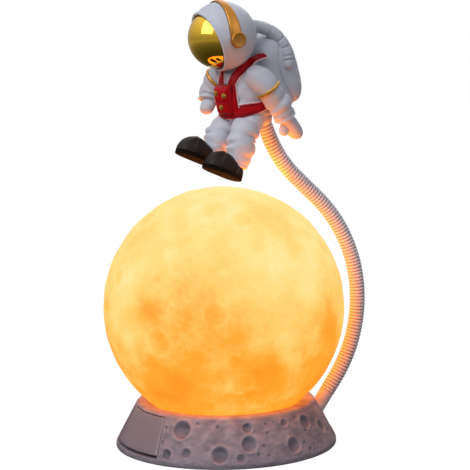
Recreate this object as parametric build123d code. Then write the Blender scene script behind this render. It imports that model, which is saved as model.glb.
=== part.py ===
from build123d import *
import os
from math import cos, hypot, pi, radians, sin, sqrt, tan

# Night light: a lit moon globe on a cratered base, with an astronaut on a gooseneck above it.
# Millimetres. Origin on the table under the globe's centre, +Z up, the front panel faces -Y.

# Moon globe
globe_radius = 75.0
globe_wall = 2.2
globe_neck_radius = 36.0
globe_neck_below_ring = 0.68
globe_seat_clearance = 0.3
globe_seat_depth = 7.76
globe_hole_clearance = 0.5
globe_ring_width = 6.0
globe_ring_height = 4.0
globe_ring_clearance = 0.08

# Base shell
base_radius = 69.0
base_height = 28.5
base_rim_height = 3.0
base_rim_round = 0.8
base_side_run = 0.543
base_wall = 2.6
base_edge_round = 3.0
base_ground_gap = 0.5
crater_depth_share = 0.32

# Craters: angle round the base from +X, height, radius
craters = [
    (-46, 21.0, 5.8), (-23, 8.6, 5.3), (-7, 13.7, 5.0), (19, 10.3, 4.8), (34, 20.6, 4.5), (49, 14.5, 4.3),
    (-52, 7.3, 3.3), (-41, 8.9, 3.2), (-12, 6.6, 3.0), (-7, 22.4, 3.3), (17, 22.8, 2.7), (70, 19.5, 3.6),
    (140, 18.5, 5.4), (158, 9.0, 4.6), (176, 17.0, 5.2), (192, 8.6, 3.4), (206, 20.4, 4.2), (220, 9.4, 4.8),
    (105, 20.8, 3.0), (148, 8.4, 2.8),
]

# Bottom cover, its screws and the pad that the lamp stands on
pad_thickness = 1.5
pad_inset = 2.87
cover_thickness = 2.0
cover_side_clearance = 0.4
screw_inset = 8.37
screw_angles = (30, 150, 225, 315)
screw_boss_radius = 4.0
screw_boss_height = 14.0
screw_shank_radius = 1.2
screw_shank_length = 8.0
screw_head_radius = 2.6
screw_head_height = 1.1
screw_slot_width = 0.6
screw_end_clearance = 0.8
screw_thread_clearance = 0.05
screw_pass_clearance = 0.5
pad_hole_clearance = 1.2

# Light source on its pillar
pillar_radius = 16.0
pillar_wall = 2.2
pillar_height = 12.4
led_board_radius = 24.0
led_board_thickness = 1.6
led_count = 9
led_circle_radius = 16.0
led_side = 3.5
led_height = 1.4

# Battery, control board and charging socket
battery_size = (31.0, 44.0, 6.0)
battery_pillar_gap = 1.0
battery_across = -3.0
battery_round = 2.0
board_size = (28.0, 24.0, 1.6)
board_wall_gap = 2.57
board_height = 6.2
board_post_radius = 2.2
board_post_inset = 4.0
socket_angle = 120.0
socket_size = (7.4, 8.9, 3.2)
socket_wall = 0.35
socket_corner = 1.28
socket_depth = 6.2
socket_tongue = (5.0, 6.6, 0.7)
socket_slot_clearance = 0.25
socket_overhang = 3.5
socket_recess = (13.0, 7.2)
socket_block = (17.0, 10.4)
socket_block_clearance = 0.5
socket_floor_clearance = 0.2

# Leads inside the base: from the cell, to the light and to the switch
lead_radius = 0.6
lead_bend_share = 0.45
lead_rise = 3.8
battery_lead_across = 28.0
battery_lead_turn = 34.0
battery_lead_board = (-8.0, 7.0)
light_lead_board_reach = 36.0
light_lead_light_reach = 20.0
switch_lead_board = (-8.0, -8.0)
switch_lead_route = [(-41.0, 10.0, 5.4), (-40.0, -18.0, 4.4), (-26.0, -44.0, 5.0)]
switch_lead_height = 6.0
switch_lead_approach = 8.0

# Front panel that is pressed to switch the light
panel_bottom_height = 5.6
panel_top_margin = 1.9
panel_bottom_half_width = 36.0
panel_top_half_width = 27.5
panel_thickness = 2.4
panel_seam = 0.3
panel_bottom_gap = 1.6
panel_pin_radius = 1.0
panel_pin_drop = 4.1
panel_pin_wall_gap = 6.76
panel_pin_clearance = 0.05
panel_lug_radius = 2.2
panel_lug_width = 3.0
panel_lug_offset = 14.0
panel_lug_clearance = 0.4

# Switch behind the panel
switch_height = 10.0
switch_side = 6.0
switch_depth = 3.6
switch_setback = 3.0
switch_plunger_radius = 1.7
switch_plunger_reach = 1.8
switch_plunger_travel = 0.6
switch_plunger_clearance = 0.1
switch_touch_gap = 0.12
switch_boss_radius = 2.2
switch_board_width = 18.0
switch_board_thickness = 1.6
switch_post_depth = 3.0

# Gooseneck: straight, round the moon, straight, back upright, straight
neck_radius = 5.0
neck_valley_depth = 0.7
neck_bore_radius = 3.0
neck_exit_height = 16.15
neck_base_angle = 55.2
neck_lean_angle = 136.0
neck_end_angle = 112.0
neck_lean_straight = 19.6
neck_end_straight = 12.0
neck_end_bend_radius = 73.0
neck_rib_count = 95
neck_sway_rib = 31
neck_nod_rib = 66
neck_crest_start = 0.17
neck_crest_end = 0.69
neck_valley_start = 0.86

# Ferrules at the two ends of the gooseneck, the lower one seen between the base and the hose
ferrule_length = 12.54
ferrule_radius = 4.6
ferrule_hole_clearance = 0.1
ferrule_shoulder_depth = 2.6
ferrule_seat_depth = 5.5
ferrule_boss_radius = 6.5
ferrule_stud_radius = 3.0
ferrule_stud_clearance = 0.08
ferrule_spigot_length = 8.0
ferrule_spigot_clearance = 0.1
ferrule_stud_beyond_nut = 1.2
washer_radius = 5.4
washer_thickness = 0.8
nut_across_flats = 10.0
nut_thickness = 2.5
nut_room = 0.4
socket_ferrule_length = 11.0

# Figure: placed by its gooseneck socket, then written from the hips: +X its left, -Y its front
figure_turn = 22.0
figure_socket_back = 14.3
torso_lean = 20.0
torso_lean_height = 2.0

# Torso sections: height, middle from front to back, half width, half depth
torso_sections = [
    (-4.5, 1.5, 10.0, 10.0), (-0.5, 2.5, 14.2, 14.4), (6.0, 1.0, 16.0, 15.5), (14.0, -2.5, 16.5, 13.0),
    (22.0, -4.0, 16.2, 11.0), (29.0, -3.4, 14.4, 10.0), (34.5, -1.6, 11.6, 8.0), (39.0, 0.6, 8.0, 5.4),
]
neck_stub_radius = 7.5
neck_stub_foot = (0.0, -6.0, 29.0)
neck_stub_length = 12.0

# Helmet, visor and headband
helmet_radius = 20.8
helmet_wall = 2.0
helmet_centre = (0.0, -17.8, 51.7)
helmet_turn = -18.0
helmet_pitch = 21.0
visor_radius = 17.3
visor_plane = 9.1
visor_rise = 12.2
visor_wall = 1.6
visor_skirt = 2.0
visor_skirt_wall = 1.2
visor_fit = 0.1
headband_thickness = 1.4
headband_width = 5.0
headband_lean = -14.0
ear_disc_radius = 4.7
ear_disc_height = 2.6
ear_disc_drop = 2.6

# Backpack in the leaning frame of the torso, and its air hoses
pack_half_width = 15.0
pack_front = 12.5
pack_back = 44.5
pack_bottom = -4.0
pack_top = 40.0
pack_round = 11.0
pack_helmet_clearance = 0.3
air_hose_radius = 3.6
air_hose_points = [(6.4, -0.5, 59.0), (10.6, 19.4, 57.4), (15.4, 22.4, 30.6)]
air_hose_bend = 16.0
air_hose_bead_radius = 4.2
air_hose_bead_length = 2.4
air_hose_bead_pitch = 3.4
air_hose_bead_count = 4

# Harness, chest box and knobs, in the leaning frame of the torso
harness_thickness = 1.3
belt_bottom = 4.6
belt_top = 9.8
strap_outline = [(2.0, 23.5), (6.5, 9.0), (10.0, 9.0), (9.2, 22.5), (12.6, 44.0), (7.4, 44.0)]
chest_panel_half_width = 6.5
chest_panel_bottom = 7.4
chest_panel_top = 25.0
chest_box_depth = 3.0
chest_box_round = 1.6
knob_radius = 1.6
knob_height = 1.2
knob_places = [(-3.2, 20.8), (3.2, 20.8), (0.0, 12.4)]

# Limbs: stations of place and radius, from the body outwards
left_arm_stations = [
    ((12.0, -5.0, 27.0), 7.6), ((19.0, -3.5, 25.2), 8.6), ((20.8, 0.3, 19.5), 8.2), ((22.5, 7.3, 9.8), 7.5),
    ((23.0, 12.6, 1.4), 6.3),
]
right_arm_stations = [
    ((-13.5, -4.8, 28.2), 7.0), ((-18.2, -5.2, 25.4), 8.3), ((-21.2, -6.2, 20.6), 8.0),
    ((-22.6, -7.8, 15.8), 7.3), ((-22.2, -9.6, 11.9), 6.3),
]
left_hand_stations = [
    ((23.0, 12.6, 1.4), 5.4), ((22.8, 16.6, -2.8), 5.8), ((22.4, 20.6, -7.2), 5.4),
    ((22.2, 23.2, -10.4), 3.4),
]
right_hand_stations = [
    ((-22.2, -9.6, 11.9), 5.2), ((-21.6, -11.4, 9.2), 5.1), ((-20.8, -13.6, 6.8), 4.4),
    ((-20.2, -15.2, 5.4), 3.0),
]
left_thumb = ((21.6, 14.6, -2.6), (19.6, 13.4, -9.0), 2.6)
right_thumb = ((-19.6, -10.6, 9.6), (-17.0, -13.0, 8.0), 2.3)
arm_ring_thickness = 1.2
left_ring_station = 2
right_ring_station = 1
left_leg_stations = [
    ((6.5, 0.0, 3.0), 8.4), ((8.0, -7.0, -2.0), 9.5), ((9.0, -13.6, -9.0), 9.0), ((9.0, -15.8, -17.0), 8.4),
    ((9.0, -17.4, -25.0), 6.8),
]
right_leg_stations = [
    ((-6.5, -0.5, 3.0), 8.4), ((-8.0, -7.4, -1.8), 9.5), ((-9.0, -14.0, -7.4), 9.0),
    ((-9.2, -17.4, -12.8), 8.5), ((-9.3, -20.8, -17.6), 6.8),
]
leg_parting = 0.15
limb_guide = (0.0, 1.0, 0.3)

# Boots: heel places, toe-up tilt, then the sole and the upper in the boot's own frame
left_heel = (9.0, -15.0, -36.4)
right_heel = (-9.3, -20.4, -27.8)
boot_tilt = 21.5
boot_length = 28.8
boot_width = 14.6
sole_thickness = 2.8

# Boot sections above the sole: height, middle from front to back, half length, half width
upper_sections = [
    (0.0, -14.2, 13.6, 6.9), (3.4, -14.2, 13.4, 7.1), (8.0, -13.6, 12.2, 6.6), (10.4, -9.6, 8.6, 6.8),
    (12.4, -7.6, 7.0, 7.0),
]

# Values that follow from the sizes above
side_stretch = hypot(1, base_side_run)
wall_shift = base_wall * side_stretch
cover_bottom = pad_thickness
cover_top = cover_bottom + cover_thickness
cover_narrowing = base_side_run * max(cover_top - base_rim_height, 0)
cover_radius = base_radius - wall_shift - cover_side_clearance - cover_narrowing
pad_radius = cover_radius - pad_inset
screw_circle_radius = cover_radius - screw_inset
globe_hole_radius = globe_neck_radius + globe_hole_clearance
seat_radius = globe_radius + globe_seat_clearance
seat_bottom = base_height - globe_seat_depth
globe_centre_height = seat_bottom + sqrt(seat_radius ** 2 - globe_hole_radius ** 2)
globe_centre = (0, 0, globe_centre_height)
seat_underside = globe_centre_height - sqrt((seat_radius + base_wall) ** 2 - globe_hole_radius ** 2)
globe_ring_bottom = seat_underside - globe_seat_clearance - globe_ring_height
globe_neck_bottom = globe_ring_bottom - globe_neck_below_ring
battery_place = (pillar_radius + battery_pillar_gap + battery_size[0] / 2, battery_across)
panel_top_height = base_height - panel_top_margin
board_top = board_height + board_size[2]
socket_middle = board_top + socket_size[2] / 2
led_board_bottom = cover_top + pillar_height
far = 4 * base_radius
UP_FROM = (Align.CENTER, Align.CENTER, Align.MIN)


def side_radius(height):
    """Outer radius of the base's sloping side at a height."""
    return base_radius - base_side_run * (height - base_rim_height)


def turned(outline):
    """Solid of revolution about Z of a closed outline of (radius, height) points."""
    return revolve(Plane.XZ * make_face(Polyline(*outline, close=True)), Axis.Z)


def side_block(inset, top):
    """Block inside the base's side, moved in square to the side by inset, from the rim up to a height."""
    shift = inset * side_stretch
    return turned([
        (0, base_ground_gap), (base_radius - shift, base_ground_gap), (base_radius - shift, base_rim_height),
        (side_radius(top) - shift, top), (0, top),
    ])


def rod(start, end, radius):
    """Round bar between two points."""
    start = Vector(start)
    run = Vector(end) - start
    return Plane(origin=start, z_dir=run) * Cylinder(radius, run.length, align=UP_FROM)


def globe_ball(radius):
    """Ball about the globe's centre."""
    return Pos(*globe_centre) * Sphere(radius)


def around(angle, radius, height):
    """Frame at an angle round the base, its X pointing outwards."""
    return Rot(0, 0, angle) * Pos(radius, 0, height)


def pin_place():
    """Place from front to back and height of the panel's hinge pin.

    It lies behind the wall by its gap, near the panel's top, and low enough to clear the seat's underside."""
    reach = seat_radius + base_wall + panel_lug_radius + panel_lug_clearance
    foot = side_radius(0) - wall_shift - panel_pin_wall_gap
    middle = base_side_run * foot + globe_centre_height
    spare = foot ** 2 + globe_centre_height ** 2 - reach ** 2
    clear_height = (middle - sqrt(middle ** 2 - side_stretch ** 2 * spare)) / side_stretch ** 2
    height = min(panel_top_height - panel_pin_drop, clear_height)
    return base_side_run * height - foot, height


board_outer_reach = side_radius(socket_middle) - wall_shift - board_wall_gap
socket_mouth = board_outer_reach + socket_overhang
panel_pin_y, panel_pin_height = pin_place()
switch_front_y = -(side_radius(switch_height) - panel_thickness * side_stretch - switch_setback)
switch_face_y = switch_front_y + switch_touch_gap + switch_plunger_reach
switch_board_y = switch_face_y + switch_depth


def panel_prism(grow_side, grow_bottom, grow_top):
    """Prism of the panel's tapering outline seen from the front, grown at its sides, bottom and top."""
    taper = (panel_bottom_half_width - panel_top_half_width) / (panel_top_height - panel_bottom_height)
    low = panel_bottom_height - grow_bottom
    high = panel_top_height + grow_top
    side = grow_side * hypot(1, taper)
    low_half = panel_bottom_half_width + taper * grow_bottom + side
    high_half = panel_top_half_width - taper * grow_top + side
    outline = Polyline((-low_half, low), (low_half, low), (high_half, high), (-high_half, high), close=True)
    return extrude(Plane.XZ * make_face(outline), far)


# Gooseneck path in the plane X = 0
def heading(angle):
    """Unit direction in the YZ plane, by its angle above +Y."""
    return Vector(0, cos(radians(angle)), sin(radians(angle)))


neck_exit = Vector(0, side_radius(neck_exit_height), neck_exit_height)
neck_start = neck_exit + heading(neck_base_angle) * ferrule_length
neck_arc_radius = (neck_exit - Vector(*globe_centre)).dot(heading(neck_base_angle - 90))
neck_arc_start = Vector(*globe_centre) + heading(neck_base_angle - 90) * neck_arc_radius
neck_base_straight = (neck_arc_start - neck_start).length
neck_arc_end = Vector(*globe_centre) + heading(neck_lean_angle - 90) * neck_arc_radius
neck_bend_start = neck_arc_end + heading(neck_lean_angle) * neck_lean_straight
neck_bend_centre = neck_bend_start + heading(neck_lean_angle - 90) * neck_end_bend_radius
neck_bend_end = neck_bend_centre - heading(neck_end_angle - 90) * neck_end_bend_radius
neck_end = neck_bend_end + heading(neck_end_angle) * neck_end_straight
neck_arc_length = radians(neck_lean_angle - neck_base_angle) * neck_arc_radius
neck_bend_length = radians(neck_lean_angle - neck_end_angle) * neck_end_bend_radius
neck_length = neck_base_straight + neck_arc_length + neck_lean_straight + neck_bend_length + neck_end_straight
neck_rib_pitch = neck_length / neck_rib_count


def neck_station(distance):
    """Point on the gooseneck's centre line and its heading angle, at a distance from the lower end."""
    if distance <= neck_base_straight:
        return neck_start + heading(neck_base_angle) * distance, neck_base_angle
    distance -= neck_base_straight
    if distance <= neck_arc_length:
        angle = neck_base_angle + distance / neck_arc_length * (neck_lean_angle - neck_base_angle)
        return Vector(*globe_centre) + heading(angle - 90) * neck_arc_radius, angle
    distance -= neck_arc_length
    if distance <= neck_lean_straight:
        return neck_arc_end + heading(neck_lean_angle) * distance, neck_lean_angle
    distance -= neck_lean_straight
    if distance <= neck_bend_length:
        angle = neck_lean_angle - distance / neck_bend_length * (neck_lean_angle - neck_end_angle)
        return neck_bend_centre - heading(angle - 90) * neck_end_bend_radius, angle
    distance -= neck_bend_length
    return neck_bend_end + heading(neck_end_angle) * distance, neck_end_angle


def neck_circle(distance, radius):
    """Round section of the gooseneck at a distance along it."""
    point, angle = neck_station(distance)
    return Plane(origin=point, x_dir=(1, 0, 0), z_dir=heading(angle)) * Circle(radius)


def neck_bore():
    """Bore along the whole gooseneck, run past both ends."""
    past = heading(neck_base_angle) * neck_radius
    beyond = heading(neck_end_angle) * neck_radius
    arc_middle, _ = neck_station(neck_base_straight + neck_arc_length / 2)
    bend_middle, _ = neck_station(neck_length - neck_end_straight - neck_bend_length / 2)
    path = Wire([
        Edge.make_line(neck_start - past, neck_arc_start),
        Edge.make_three_point_arc(neck_arc_start, arc_middle, neck_arc_end),
        Edge.make_line(neck_arc_end, neck_bend_start),
        Edge.make_three_point_arc(neck_bend_start, bend_middle, neck_bend_end),
        Edge.make_line(neck_bend_end, neck_end + beyond),
    ])
    mouth = Plane(origin=neck_start - past, x_dir=(1, 0, 0), z_dir=heading(neck_base_angle))
    return sweep(mouth * Circle(neck_bore_radius), path=path)


def neck_span(first_rib, last_rib, bore):
    """Ribbed hose from one rib to another: each rib is valley, crest, crest, valley."""
    valley = neck_radius - neck_valley_depth
    circles = []
    for rib in range(first_rib, last_rib):
        foot = rib * neck_rib_pitch
        circles.append(neck_circle(foot, valley))
        circles.append(neck_circle(foot + neck_crest_start * neck_rib_pitch, neck_radius))
        circles.append(neck_circle(foot + neck_crest_end * neck_rib_pitch, neck_radius))
        circles.append(neck_circle(foot + neck_valley_start * neck_rib_pitch, valley))
    circles.append(neck_circle(last_rib * neck_rib_pitch, valley))
    return loft(circles, ruled=True) - bore


# Lower ferrule axis: distances run from the gooseneck's lower end down into the base
ferrule_axis = heading(neck_base_angle) * -1
ferrule_shoulder_reach = ferrule_length + ferrule_shoulder_depth
ferrule_seat_reach = ferrule_length + ferrule_seat_depth
washer_reach = ferrule_seat_reach + washer_thickness
nut_reach = washer_reach + nut_thickness


def ferrule_rod(near, far, radius):
    """Round bar on the lower ferrule's axis between two distances from the gooseneck's end."""
    return rod(neck_start + ferrule_axis * near, neck_start + ferrule_axis * far, radius)


def base_outer():
    """Outside of the base: rim, sloping side and rounded top edge."""
    block = turned([
        (0, base_ground_gap), (base_radius - base_rim_round, base_ground_gap),
        (base_radius, base_ground_gap + base_rim_round), (base_radius, base_rim_height),
        (side_radius(base_height), base_height), (0, base_height),
    ])
    top_edge = block.edges().filter_by(GeomType.CIRCLE).sort_by(Axis.Z)[-1]
    return fillet(top_edge, base_edge_round)


def crater_ball(angle, height, radius):
    """Ball that leaves a shallow dent of the given radius in the base's side."""
    depth = radius * crater_depth_share
    ball = (radius ** 2 + depth ** 2) / (2 * depth)
    out = Vector(1 / side_stretch, 0, base_side_run / side_stretch)
    middle = Vector(side_radius(height), 0, height) + out * (ball - depth)
    return Rot(0, 0, angle) * Pos(*middle) * Sphere(ball)


def make_base_shell():
    """Cratered shell with the globe's seat, screw bosses, hinge brackets and openings."""
    outer = base_outer()
    cavity = side_block(base_wall, base_height - base_wall) - globe_ball(seat_radius + base_wall)
    shell = outer - cavity
    inside = side_block(base_wall / 2, base_height - base_wall / 2)
    for angle in screw_angles:
        boss = Cylinder(screw_boss_radius, screw_boss_height, align=UP_FROM)
        boss += Box(far, screw_boss_radius, screw_boss_height,
                    align=(Align.MIN, Align.CENTER, Align.MIN))
        shell += inside & (around(angle, screw_circle_radius, cover_top) * boss)
    bracket_x = panel_lug_offset + panel_lug_width + panel_seam
    for side in (-1, 1):
        bracket_height = base_height - base_wall / 2 - panel_pin_height + panel_lug_radius
        shell += inside & (Pos(side * bracket_x, panel_pin_y, panel_pin_height - panel_lug_radius)
                           * Box(panel_lug_width, 2 * panel_lug_radius, bracket_height, align=UP_FROM))
    shell += inside & (around(socket_angle, board_outer_reach + socket_block_clearance, socket_middle)
                       * Box(far, *socket_block, align=(Align.MIN, Align.CENTER, Align.CENTER)))
    shell += outer & ferrule_rod(
        ferrule_length - ferrule_boss_radius, ferrule_seat_reach, ferrule_boss_radius)
    shell -= globe_ball(seat_radius)
    shell -= Cylinder(globe_hole_radius, far)
    for angle in screw_angles:
        shell -= around(angle, screw_circle_radius, cover_top) * Cylinder(
            screw_shank_radius + screw_thread_clearance, screw_shank_length, align=UP_FROM)
    pin_span = 2 * bracket_x + panel_lug_width
    pin_hole = Pos(0, panel_pin_y, panel_pin_height) * Rot(0, 90, 0) * Cylinder(
        panel_pin_radius + panel_pin_clearance, pin_span)
    shell -= pin_hole
    skin = outer - side_block(base_wall, base_height)
    shell -= skin & panel_prism(panel_seam, panel_bottom_gap, panel_seam)
    slot = (socket_size[1] + 2 * socket_slot_clearance, socket_size[2] + 2 * socket_slot_clearance)
    shell -= around(socket_angle, socket_mouth, socket_middle) * Box(2 * socket_size[0], *slot)
    shell -= around(socket_angle, socket_mouth + socket_floor_clearance, socket_middle) * Box(
        far, *socket_recess, align=(Align.MIN, Align.CENTER, Align.CENTER))
    shell -= ferrule_rod(-neck_radius, ferrule_shoulder_reach, ferrule_radius + ferrule_hole_clearance)
    shell -= ferrule_rod(0, nut_reach, ferrule_stud_radius + ferrule_stud_clearance)
    nut_corner = nut_across_flats / sqrt(3)
    shell -= ferrule_rod(ferrule_seat_reach, nut_reach + ferrule_stud_beyond_nut,
                         max(nut_corner, washer_radius) + nut_room)
    for crater in craters:
        shell -= crater_ball(*crater)
    return shell


def make_bottom_cover():
    """Cover with the light's pillar, the control board's posts and the switch board's post."""
    cover = Pos(0, 0, cover_bottom) * Cylinder(cover_radius, cover_thickness, align=UP_FROM)
    cover += Pos(0, 0, cover_top) * Cylinder(pillar_radius, pillar_height, align=UP_FROM)
    cover -= Pos(0, 0, cover_top) * Cylinder(pillar_radius - pillar_wall, pillar_height, align=UP_FROM)
    for radial in (-1, 1):
        for across in (-1, 1):
            reach = board_outer_reach - board_size[0] / 2 + radial * (board_size[0] / 2 - board_post_inset)
            side = across * (board_size[1] / 2 - board_post_inset)
            cover += around(socket_angle, reach, cover_top) * Pos(0, side, 0) * Cylinder(
                board_post_radius, board_height - cover_top, align=UP_FROM)
    post_y = switch_board_y + switch_board_thickness + switch_post_depth / 2
    cover += Pos(0, post_y, cover_top) * Box(
        switch_board_width, switch_post_depth, switch_height + switch_side / 2 - cover_top, align=UP_FROM)
    for angle in screw_angles:
        cover -= around(angle, screw_circle_radius, cover_bottom) * Cylinder(
            screw_shank_radius + screw_pass_clearance, cover_thickness, align=UP_FROM)
    return cover


def make_cover_screws():
    """Four pan-head screws through the cover into the bosses."""
    screws = []
    for angle in screw_angles:
        shank_length = cover_thickness + screw_shank_length - screw_end_clearance
        shank = Cylinder(screw_shank_radius, shank_length, align=UP_FROM)
        head = Pos(0, 0, -screw_head_height) * Cylinder(screw_head_radius, screw_head_height, align=UP_FROM)
        slot = Pos(0, 0, -screw_head_height) * Box(
            screw_head_radius, screw_slot_width, screw_head_height)
        screws.append(around(angle, screw_circle_radius, cover_bottom) * (shank + head - slot))
    return screws


def make_antislip_pad():
    """Round pad under the cover, holed over the screws."""
    pad = Cylinder(pad_radius, pad_thickness, align=UP_FROM)
    for angle in screw_angles:
        pad -= around(angle, screw_circle_radius, 0) * Cylinder(
            screw_head_radius + pad_hole_clearance, pad_thickness, align=UP_FROM)
    return pad


def make_moon_globe():
    """Hollow globe with a short round neck at the bottom."""
    neck_length = globe_centre_height - globe_neck_bottom
    outside = globe_ball(globe_radius) + Pos(0, 0, globe_neck_bottom) * Cylinder(
        globe_neck_radius, neck_length, align=UP_FROM)
    inside = globe_ball(globe_radius - globe_wall) + Cylinder(
        globe_neck_radius - globe_wall, globe_centre_height, align=UP_FROM)
    return outside - inside


def make_globe_ring():
    """Ring on the globe's neck, under the base's seat."""
    inner = globe_neck_radius + globe_ring_clearance
    ring = Cylinder(inner + globe_ring_width, globe_ring_height, align=UP_FROM)
    ring -= Cylinder(inner, globe_ring_height, align=UP_FROM)
    return Pos(0, 0, globe_ring_bottom) * ring


def make_led_board():
    """Round aluminium board on the pillar."""
    return Pos(0, 0, led_board_bottom) * Cylinder(led_board_radius, led_board_thickness, align=UP_FROM)


def make_led_chips():
    """Ring of light-emitting chips on the board."""
    top = led_board_bottom + led_board_thickness
    chips = []
    for index in range(led_count):
        chips.append(around(index * 360 / led_count, led_circle_radius, top)
                     * Box(led_side, led_side, led_height, align=UP_FROM))
    return chips


def make_battery_cell():
    """Pouch cell lying on the cover."""
    cell = Pos(*battery_place, cover_top) * Box(*battery_size, align=UP_FROM)
    return fillet(cell.edges().filter_by(Axis.Y), battery_round)


def make_control_board():
    """Circuit board on the cover's four posts."""
    return around(socket_angle, board_outer_reach - board_size[0] / 2, board_height) * Box(
        *board_size, align=UP_FROM)


def make_usb_socket():
    """Charging socket on the board's outer edge: metal mouth with its tongue."""
    mouth = around(socket_angle, socket_mouth, socket_middle)
    inwards = (Align.MAX, Align.CENTER, Align.CENTER)
    body = Box(*socket_size, align=inwards)
    body = fillet(body.edges().filter_by(Axis.X), socket_corner)
    hollow_width = socket_size[1] - 2 * socket_wall
    hollow_height = socket_size[2] - 2 * socket_wall
    hollow = Box(socket_depth, hollow_width, hollow_height, align=inwards)
    hollow = fillet(hollow.edges().filter_by(Axis.X), socket_corner - socket_wall)
    tongue = Pos(-socket_depth, 0, 0) * Box(*socket_tongue, align=(Align.MIN, Align.CENTER, Align.CENTER))
    return mouth * (body - hollow + tongue)


def lead(points):
    """Insulated wire through points, its corners rounded as far as the shorter run at each allows."""
    points = [Vector(point) for point in points]
    radii = []
    for before, corner, after in zip(points, points[1:], points[2:]):
        shorter = min((corner - before).length, (after - corner).length)
        turn = radians((corner - before).get_angle(after - corner))
        radii.append(lead_bend_share * shorter / tan(turn / 2))
    path = FilletPolyline(*points, radius=radii)
    wire = sweep(Plane(origin=points[0], z_dir=points[1] - points[0]) * Circle(lead_radius), path=path)
    expected = pi * lead_radius ** 2 * path.length
    print("lead radii", [round(radius, 1) for radius in radii], "volume", round(wire.volume / expected, 4))
    return wire


def on_board(inwards, across, height):
    """Point above the control board, from its middle towards the globe's axis and across."""
    place = around(socket_angle, board_outer_reach - board_size[0] / 2 - inwards, height) * Pos(0, across, 0)
    return place.position


def make_battery_lead():
    """Lead from the cell's end to the control board."""
    end_y = battery_place[1] + battery_size[1] / 2
    middle = cover_top + battery_size[2] / 2
    inwards, across = battery_lead_board
    return lead([
        (battery_lead_across, end_y, middle), (battery_lead_across, battery_lead_turn, middle),
        on_board(-inwards, -across, board_top + lead_rise), on_board(-inwards, -across, board_top),
    ])


def make_light_lead():
    """Lead from the control board to the underside of the light's board."""
    level = board_top + lead_rise
    return lead([
        around(socket_angle, light_lead_board_reach, board_top).position,
        around(socket_angle, light_lead_board_reach, level).position,
        around(socket_angle, light_lead_light_reach, level).position,
        around(socket_angle, light_lead_light_reach, led_board_bottom).position,
    ])


def make_switch_lead():
    """Lead from the control board round the cover to the side of the switch's board."""
    board_middle = switch_board_y + switch_board_thickness / 2
    inwards, across = switch_lead_board
    side = -switch_board_width / 2
    return lead([
        on_board(-inwards, -across, board_top), on_board(-inwards, -across, board_top + lead_rise),
        *switch_lead_route, (side - switch_lead_approach, board_middle, switch_lead_height),
        (side, board_middle, switch_lead_height),
    ])


def make_front_panel():
    """Smooth panel flush with the side, with its hinge lugs and the boss that meets the switch."""
    skin = base_outer() - side_block(panel_thickness, base_height)
    panel = skin & panel_prism(0, 0, 0)
    inside = side_block(panel_thickness / 2, base_height)
    for side in (-1, 1):
        place = Pos(side * panel_lug_offset, panel_pin_y, panel_pin_height)
        lug = Rot(0, 90, 0) * Cylinder(panel_lug_radius, panel_lug_width)
        lug += Box(panel_lug_width, far, panel_lug_radius, align=(Align.CENTER, Align.MAX, Align.CENTER))
        panel += inside & (place * lug)
    panel += inside & (Pos(0, switch_front_y, switch_height) * Rot(90, 0, 0)
                       * Cylinder(switch_boss_radius, far, align=UP_FROM))
    panel -= Pos(0, panel_pin_y, panel_pin_height) * Rot(0, 90, 0) * Cylinder(
        panel_pin_radius + panel_pin_clearance, far)
    return panel


def make_panel_hinge_pin():
    """Steel pin through the panel's lugs and the shell's brackets."""
    length = 2 * (panel_lug_offset + panel_lug_width + panel_seam) + panel_lug_width
    return Pos(0, panel_pin_y, panel_pin_height) * Rot(0, 90, 0) * Cylinder(panel_pin_radius, length)


def make_switch_board():
    """Small upright board that carries the switch."""
    height = switch_height + switch_side / 2 - cover_top
    return Pos(0, switch_board_y + switch_board_thickness / 2, cover_top) * Box(
        switch_board_width, switch_board_thickness, height, align=UP_FROM)


def make_tact_switch():
    """Switch body with the bore of its plunger."""
    body = Pos(0, switch_face_y, switch_height) * Box(
        switch_side, switch_depth, switch_side, align=(Align.CENTER, Align.MIN, Align.CENTER))
    bore_depth = switch_plunger_reach + 2 * switch_plunger_travel
    return body - rod((0, switch_front_y, switch_height), (0, switch_face_y + bore_depth, switch_height),
                      switch_plunger_radius + switch_plunger_clearance)


def make_switch_plunger():
    """Plunger that the panel's boss presses."""
    tip = switch_front_y + switch_touch_gap
    root = tip + 2 * switch_plunger_reach
    return rod((0, tip, switch_height), (0, root, switch_height), switch_plunger_radius)


def make_lower_ferrule():
    """Smooth sleeve from the base to the gooseneck, with its spigot and threaded stud."""
    ferrule = ferrule_rod(0, ferrule_shoulder_reach, ferrule_radius)
    ferrule += ferrule_rod(0, nut_reach + ferrule_stud_beyond_nut, ferrule_stud_radius)
    ferrule += ferrule_rod(-ferrule_spigot_length, 0, neck_bore_radius - ferrule_spigot_clearance)
    return ferrule


def make_ferrule_washer():
    """Washer on the boss inside the base."""
    return ferrule_rod(ferrule_seat_reach, washer_reach, washer_radius) - ferrule_rod(
        0, nut_reach, ferrule_stud_radius + ferrule_stud_clearance)


def make_ferrule_nut():
    """Hexagon nut that clamps the ferrule."""
    face = Plane(origin=neck_start + ferrule_axis * washer_reach, x_dir=(1, 0, 0), z_dir=ferrule_axis)
    hexagon = face * RegularPolygon(nut_across_flats / 2, 6, major_radius=False)
    return extrude(hexagon, nut_thickness) - ferrule_rod(
        0, nut_reach + ferrule_stud_beyond_nut, ferrule_stud_radius + ferrule_stud_clearance)


# Figure
figure_back = Vector(-sin(radians(figure_turn)), cos(radians(figure_turn)), 0)
figure_origin = neck_end - figure_back * figure_socket_back
figure_place = Location(figure_origin, (0, 0, figure_turn))
lean_place = Pos(0, 0, torso_lean_height) * Rot(torso_lean, 0, 0)
head_place = Pos(*helmet_centre) * Rot(0, 0, helmet_turn) * Rot(helmet_pitch, 0, 0)


def oval(height, middle, half_width, half_depth):
    """Level oval section, its middle moved from front to back."""
    return Pos(0, middle, height) * Ellipse(half_width, half_depth)


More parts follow.
